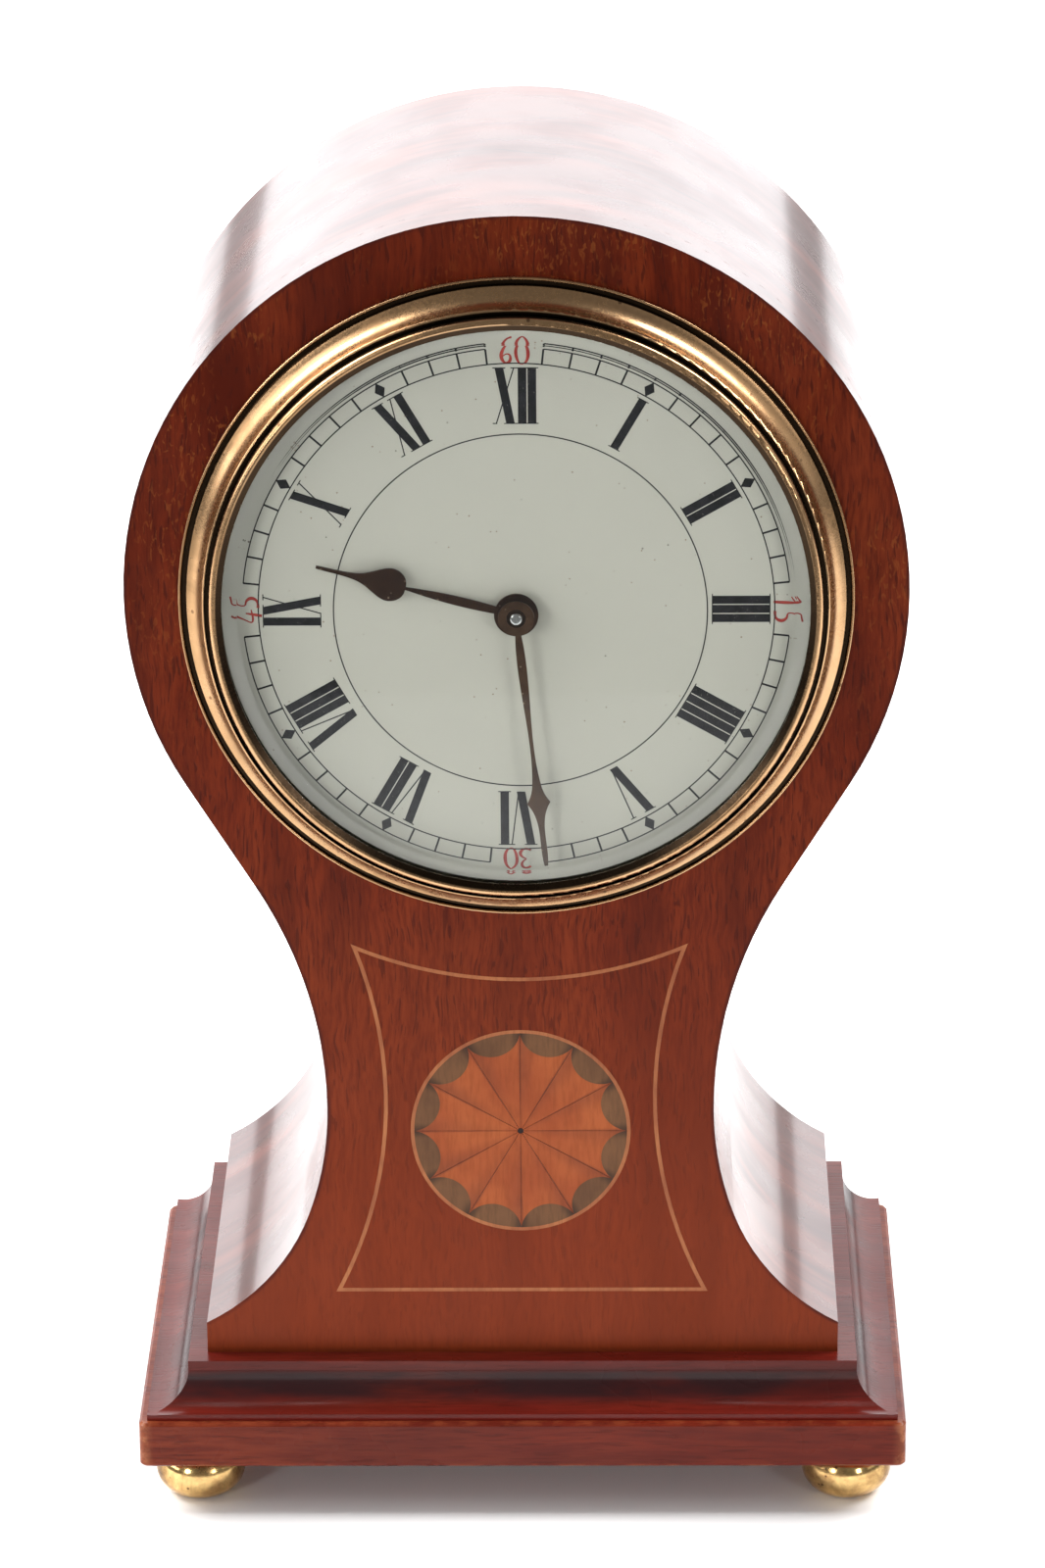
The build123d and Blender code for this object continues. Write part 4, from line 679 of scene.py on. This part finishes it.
# the printing on the dial: radii, widths and heights in millimetres
dial = {
    "centre": (0.0, -35.05, 172.2), "lift": 0.03, "layer": 0.004,
    "chapter": 32.8, "chapterShift": (0.7, -0.4), "trackLow": 45.3, "trackHigh": 48.1, "line": 0.22,
    "minuteBar": 0.35, "lozengeWide": 1.0, "lozengeTall": 1.45, "stepsPerMinute": 4,
    "numeralLow": 34.35, "numeralHigh": 44.45, "gap": 0.4,
    "bar": 1.5, "hair": 0.22, "serif": 2.26, "headSerif": 1.1, "footSerif": 0.8, "serifThick": 0.18,
}


def dialPlace(minutes):
    # x runs clockwise along the rim, z outwards, for a mark at this minute
    turn = Matrix.Rotation(math.radians(6 * minutes), 4, "Y")
    return Matrix.Translation(Vector(dial["centre"]) * mm) @ turn


def stroke(bm, place, low, high, width, layer=0.0):
    # a flat stroke from one (x, r) to another, cut off square to the radius
    (x0, r0), (x1, r1) = low, high
    depth = dial["lift"] / 2 + layer * dial["layer"]
    shape = Matrix.Identity(4)
    shape.col[0] = (width * mm, 0, 0, 0)
    shape.col[1] = (0, dial["lift"] * mm, 0, 0)
    shape.col[2] = ((x1 - x0) * mm, 0, (r1 - r0) * mm, 0)
    shape.col[3] = ((x0 + x1) / 2 * mm, -depth * mm, (r0 + r1) / 2 * mm, 1)
    bmesh.ops.create_cube(bm, size=1.0, matrix=place @ shape)


def arcLine(bm, radius, startMinute, endMinute, shift=(0.0, 0.0)):
    # a printed circle, or a part of one
    offset = Matrix.Translation((shift[0] * mm, 0, shift[1] * mm))
    place = offset @ dialPlace(startMinute)
    turn = math.radians(6 * (endMinute - startMinute))
    inside, outside = radius - dial["line"] / 2, radius + dial["line"] / 2
    section = ((inside, 0.0), (outside, 0.0), (outside, dial["lift"]), (inside, dial["lift"]))
    corners = [bm.verts.new(place @ Vector((0, -level * mm, r * mm))) for r, level in section]
    edges = [bm.edges.new((corners[i - 1], corners[i])) for i in range(4)]
    bmesh.ops.spin(
        bm, geom=corners + edges, cent=offset @ (Vector(dial["centre"]) * mm), axis=(0, 1, 0), angle=turn,
        steps=(endMinute - startMinute) * dial["stepsPerMinute"], use_merge=endMinute - startMinute == 60,
    )


def finished(name, bm, material, body):
    bmesh.ops.remove_doubles(bm, verts=bm.verts, dist=1e-7)
    bmesh.ops.recalc_face_normals(bm, faces=bm.faces)
    mesh = bpy.data.meshes.new(name)
    bm.to_mesh(mesh)
    bm.free()
    mesh.materials.append(material)
    piece = bpy.data.objects.new(name, mesh)
    bpy.context.scene.collection.objects.link(piece)
    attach(piece, body)


# each letter's width, its strokes as (x at foot, x at head, weight), and its serifs as (x, width)
letters = {
    "I": {
        "width": 1.3, "strokes": ((0.0, 0.0, "bar"),),
        "heads": ((0.0, "serif"),), "feet": ((0.0, "serif"),),
    },
    "V": {
        "width": 4.3, "strokes": ((0.3, -1.45, "bar"), (0.72, 1.95, "hair")),
        "heads": ((-1.45, "serif"), (1.95, "headSerif")), "feet": (),
    },
    "X": {
        "width": 3.9, "strokes": ((0.95, -1.0, "bar"), (-1.5, 1.55, "hair")),
        "heads": ((-1.0, "serif"), (1.55, "headSerif")), "feet": ((0.95, "serif"), (-1.75, "footSerif")),
    },
}


def numeral(bm, text, minutes):
    place = dialPlace(minutes)
    low, high = dial["numeralLow"], dial["numeralHigh"]
    left = -(sum(letters[c]["width"] for c in text) + dial["gap"] * (len(text) - 1)) / 2
    for character in text:
        letter = letters[character]
        middle = left + letter["width"] / 2
        for layer, (foot, head, weight) in enumerate(letter["strokes"]):
            stroke(bm, place, (middle + foot, low), (middle + head, high), dial[weight], layer)
        for r, serifs in ((low, letter["feet"]), (high, letter["heads"])):
            for x, kind in serifs:
                bottom, top = r - dial["serifThick"] / 2, r + dial["serifThick"] / 2
                stroke(bm, place, (middle + x, bottom), (middle + x, top), dial[kind], 2)
        left += letter["width"] + dial["gap"]


marks = bmesh.new()
for hour, text in enumerate(("XII", "I", "II", "III", "IIII", "V", "VI", "VII", "VIII", "IX", "X", "XI")):
    numeral(marks, text, hour * 5)
finished("dial_numerals", marks, blackInk, "case")

track = bmesh.new()
arcLine(track, dial["chapter"], 0, 60, dial["chapterShift"])
arcLine(track, dial["trackLow"], 0, 60)
for quarter in range(0, 60, 15):
    # the outer line stops a minute short of the quarters, where the red figures stand
    arcLine(track, dial["trackHigh"], quarter + 1, quarter + 14)
for minute in range(60):
    place = dialPlace(minute)
    if minute % 15 == 0:
        continue
    if minute % 5 == 0:
        middle = (dial["trackLow"] + dial["trackHigh"]) / 2
        spot = Matrix.Translation((0, -dial["lift"] / 2 * mm, middle * mm))
        size = Matrix.Diagonal((dial["lozengeWide"] * mm, dial["lift"] * mm, dial["lozengeTall"] * mm, 1))
        bmesh.ops.create_cone(
            track, cap_ends=True, segments=4, radius1=1.0, radius2=1.0, depth=1.0,
            matrix=place @ spot @ size @ Matrix.Rotation(math.pi / 2, 4, "X"),
        )
    else:
        stroke(track, place, (0, dial["trackLow"]), (0, dial["trackHigh"]), dial["minuteBar"], 0.5)
finished("dial_minute_track", track, blackInk, "case")

# the red figures are drawn with a pen: centre line points with the pen's weight, in a box 2 wide and 3 high
penFigures = {
    "0": (
        ((1.0, 3.0, 0.5), (0.35, 2.7, 1.1), (0.1, 1.5, 1.7), (0.5, 0.2, 1.0), (1.0, 0.0, 0.5),
         (1.6, 0.4, 1.2), (1.8, 1.5, 1.8), (1.5, 2.7, 1.1), (1.0, 3.0, 0.5)),
    ),
    "1": (
        ((0.3, 2.3, 0.5), (0.8, 2.6, 0.6), (1.15, 3.0, 1.0), (1.1, 1.5, 1.7), (1.0, 0.0, 1.2)),
    ),
    "3": (
        ((0.3, 2.6, 1.2), (0.9, 3.0, 0.6), (1.6, 2.5, 1.5), (1.3, 1.8, 0.8), (0.8, 1.6, 0.5),
         (1.5, 1.3, 1.0), (1.8, 0.7, 1.7), (1.1, 0.0, 0.7), (0.3, 0.3, 1.3)),
    ),
    "4": (
        ((1.1, 3.0, 1.0), (0.6, 1.9, 0.6), (0.1, 0.9, 0.6), (1.1, 0.85, 1.2), (2.0, 1.1, 0.5)),
        ((1.5, 1.8, 0.6), (1.35, 0.8, 1.6), (1.15, -0.3, 1.3)),
    ),
    "5": (
        ((1.8, 3.1, 0.9), (1.2, 2.95, 0.9), (0.7, 2.9, 0.6), (0.5, 1.8, 0.6), (1.3, 1.75, 1.1),
         (1.75, 1.0, 1.8), (1.2, 0.1, 0.9), (0.3, 0.2, 1.4)),
    ),
    "6": (
        ((1.6, 2.9, 1.0), (1.0, 2.8, 0.6), (0.4, 1.9, 1.5), (0.2, 0.9, 1.8), (0.8, 0.05, 0.8),
         (1.5, 0.5, 1.6), (1.4, 1.4, 0.8), (0.7, 1.4, 0.5), (0.3, 0.9, 0.6)),
    ),
}
pen = {
    "scale": 1.36, "weight": 0.22, "advance": 2.65, "foot": 45.35, "drop": 0.2, "flatten": 0.12, "steps": 6,
}


def penLine(bm, line, left, place):
    # one line of a figure, swept with a round nib and pressed flat on the dial
    curve = bpy.data.curves.new("penLine", "CURVE")
    curve.dimensions = "3D"
    curve.bevel_depth = pen["weight"] * mm
    curve.bevel_resolution = 1
    curve.resolution_u = pen["steps"]
    curve.use_fill_caps = True
    spline = curve.splines.new("NURBS")
    spline.points.add(len(line) - 1)
    for point, (x, r, weight) in zip(spline.points, line):
        across = left + x * pen["scale"]
        outward = pen["foot"] + (r - pen["drop"]) * pen["scale"]
        point.co = (across * mm, 0.0, outward * mm, 1.0)
        point.radius = weight
    spline.order_u = 3
    spline.use_endpoint_u = True
    holder = bpy.data.objects.new("penLine", curve)
    bpy.context.scene.collection.objects.link(holder)
    bpy.context.view_layer.update()
    mesh = bpy.data.meshes.new_from_object(holder.evaluated_get(bpy.context.evaluated_depsgraph_get()))
    mesh.transform(Matrix.Diagonal((1, pen["flatten"], 1, 1)))
    mesh.transform(place)
    bm.from_mesh(mesh)
    bpy.data.objects.remove(holder)
    bpy.data.meshes.remove(mesh)
    bpy.data.curves.remove(curve)


for text, minutes in (("60", 0), ("15", 15), ("30", 30), ("45", 45)):
    figures = bmesh.new()
    left = -pen["advance"] * len(text) / 2
    for figure in text:
        for line in penFigures[figure]:
            penLine(figures, line, left, dialPlace(minutes))
        left += pen["advance"]
    finished("dial_figure_" + text, figures, redInk, "case")
print("dial done")


# the floor
paperLook = {
    "front": -0.46, "back": 1.9, "halfWidth": 1.5,
    "cloud": (3.0, 2.0), "cloudStops": (0.0, 1.0),
    "white": ((0.86, 0.86, 0.87), (0.9, 0.9, 0.9)), "rough": 0.9,
    "paintedShadeFade": (-0.46, -0.2, 0.9, 0.0), "paintedShadeGrey": (0.1, 0.1, 0.1),
}


def paper():
    # painted shade: the paper is darkened towards its front edge, well in front of the clock
    material, tree, shader = newMaterial("palePaper")
    x, y, z = axes(tree)
    cloud = noise(tree, placed(tree), *paperLook["cloud"])
    white = ramp(tree, cloud, paperLook["cloudStops"], paperLook["white"])
    colour = mixed(tree, fade(tree, y, *paperLook["paintedShadeFade"]), white, paperLook["paintedShadeGrey"])
    tree.links.new(colour, shader.inputs["Base Color"])
    shader.inputs["Roughness"].default_value = paperLook["rough"]
    return material


floorShape = bmesh.new()
floorMiddle = (paperLook["front"] + paperLook["back"]) / 2
floorReach = (paperLook["back"] - paperLook["front"]) / 2
bmesh.ops.create_grid(
    floorShape, x_segments=8, y_segments=8, size=1.0,
    matrix=Matrix.Translation((0, floorMiddle, 0))
    @ Matrix.Diagonal((paperLook["halfWidth"], floorReach, 1, 1)),
)
floorMesh = bpy.data.meshes.new("studio_floor")
floorShape.to_mesh(floorMesh)
floorShape.free()
floorMesh.materials.append(paper())
floor = bpy.data.objects.new("studio_floor", floorMesh)
bpy.context.scene.collection.objects.link(floor)

# the light of the room, and each lamp's place, what it faces, its width, height, power and colour
room = {"colour": (1.0, 0.98, 0.96, 1.0), "strength": 0.17}
softboxes = {
    "backSoftbox": ((0.0, 1.7, 0.72), (0.0, 0.0, 0.25), 2.15, 1.12, 18.4, (0.97, 0.98, 1.0)),
    "leftSoftbox": ((-1.25, -0.35, 0.8), (0.0, 0.0, 0.12), 0.9, 1.1, 9.5, (1.0, 1.0, 1.0)),
    "rightSoftbox": ((1.25, -0.35, 0.8), (0.0, 0.0, 0.12), 0.9, 1.1, 1.5, (1.0, 1.0, 1.0)),
    "highLeftSoftbox": ((-1.3, 0.35, 1.5), (0.0, 0.1, 0.0), 1.0, 1.0, 56.0, (1.0, 1.0, 1.0)),
    "highRightSoftbox": ((1.3, 0.35, 1.5), (0.0, 0.1, 0.0), 1.0, 1.0, 50.0, (1.0, 1.0, 1.0)),
    "frontLeftSoftbox": ((-0.75, -1.15, 0.42), (0.0, 0.0, 0.15), 0.2, 0.3, 3.8, (1.0, 1.0, 1.0)),
    "frontRightSoftbox": ((0.75, -1.15, 0.42), (0.0, 0.0, 0.15), 0.2, 0.3, 2.6, (1.0, 1.0, 1.0)),
}

world = bpy.data.worlds.new("studioRoom")
bpy.context.scene.world = world
world.use_nodes = True
world.node_tree.nodes["Background"].inputs["Color"].default_value = room["colour"]
world.node_tree.nodes["Background"].inputs["Strength"].default_value = room["strength"]
for name, (spot, target, width, height, power, colour) in softboxes.items():
    lamp = bpy.data.lights.new(name, "AREA")
    lamp.shape = "RECTANGLE"
    lamp.size = width
    lamp.size_y = height
    lamp.energy = power
    lamp.color = colour
    holder = bpy.data.objects.new(name, lamp)
    holder.location = spot
    holder.rotation_euler = (Vector(target) - Vector(spot)).to_track_quat("-Z", "Y").to_euler()
    bpy.context.scene.collection.objects.link(holder)

cameraView = {
    "sensor": 36.0, "lens": 152.19, "clipStart": 0.05, "clipEnd": 20.0,
    "place": (
        (0.99989537, 0.00226919, 0.01428668, 0.017615),
        (0.01245665, 0.36705502, -0.93011582, -1.128526),
        (-0.0073546, 0.93019647, 0.36698834, 0.570452),
        (0.0, 0.0, 0.0, 1.0),
    ),
}
camera = bpy.data.cameras.new("camera")
camera.sensor_width = cameraView["sensor"]
camera.lens = cameraView["lens"]
camera.clip_start = cameraView["clipStart"]
camera.clip_end = cameraView["clipEnd"]
cameraHolder = bpy.data.objects.new("camera", camera)
cameraHolder.matrix_world = Matrix(cameraView["place"])
bpy.context.scene.collection.objects.link(cameraHolder)
bpy.context.scene.camera = cameraHolder
bpy.context.scene.view_settings.view_transform = "Standard"
print("studio done")
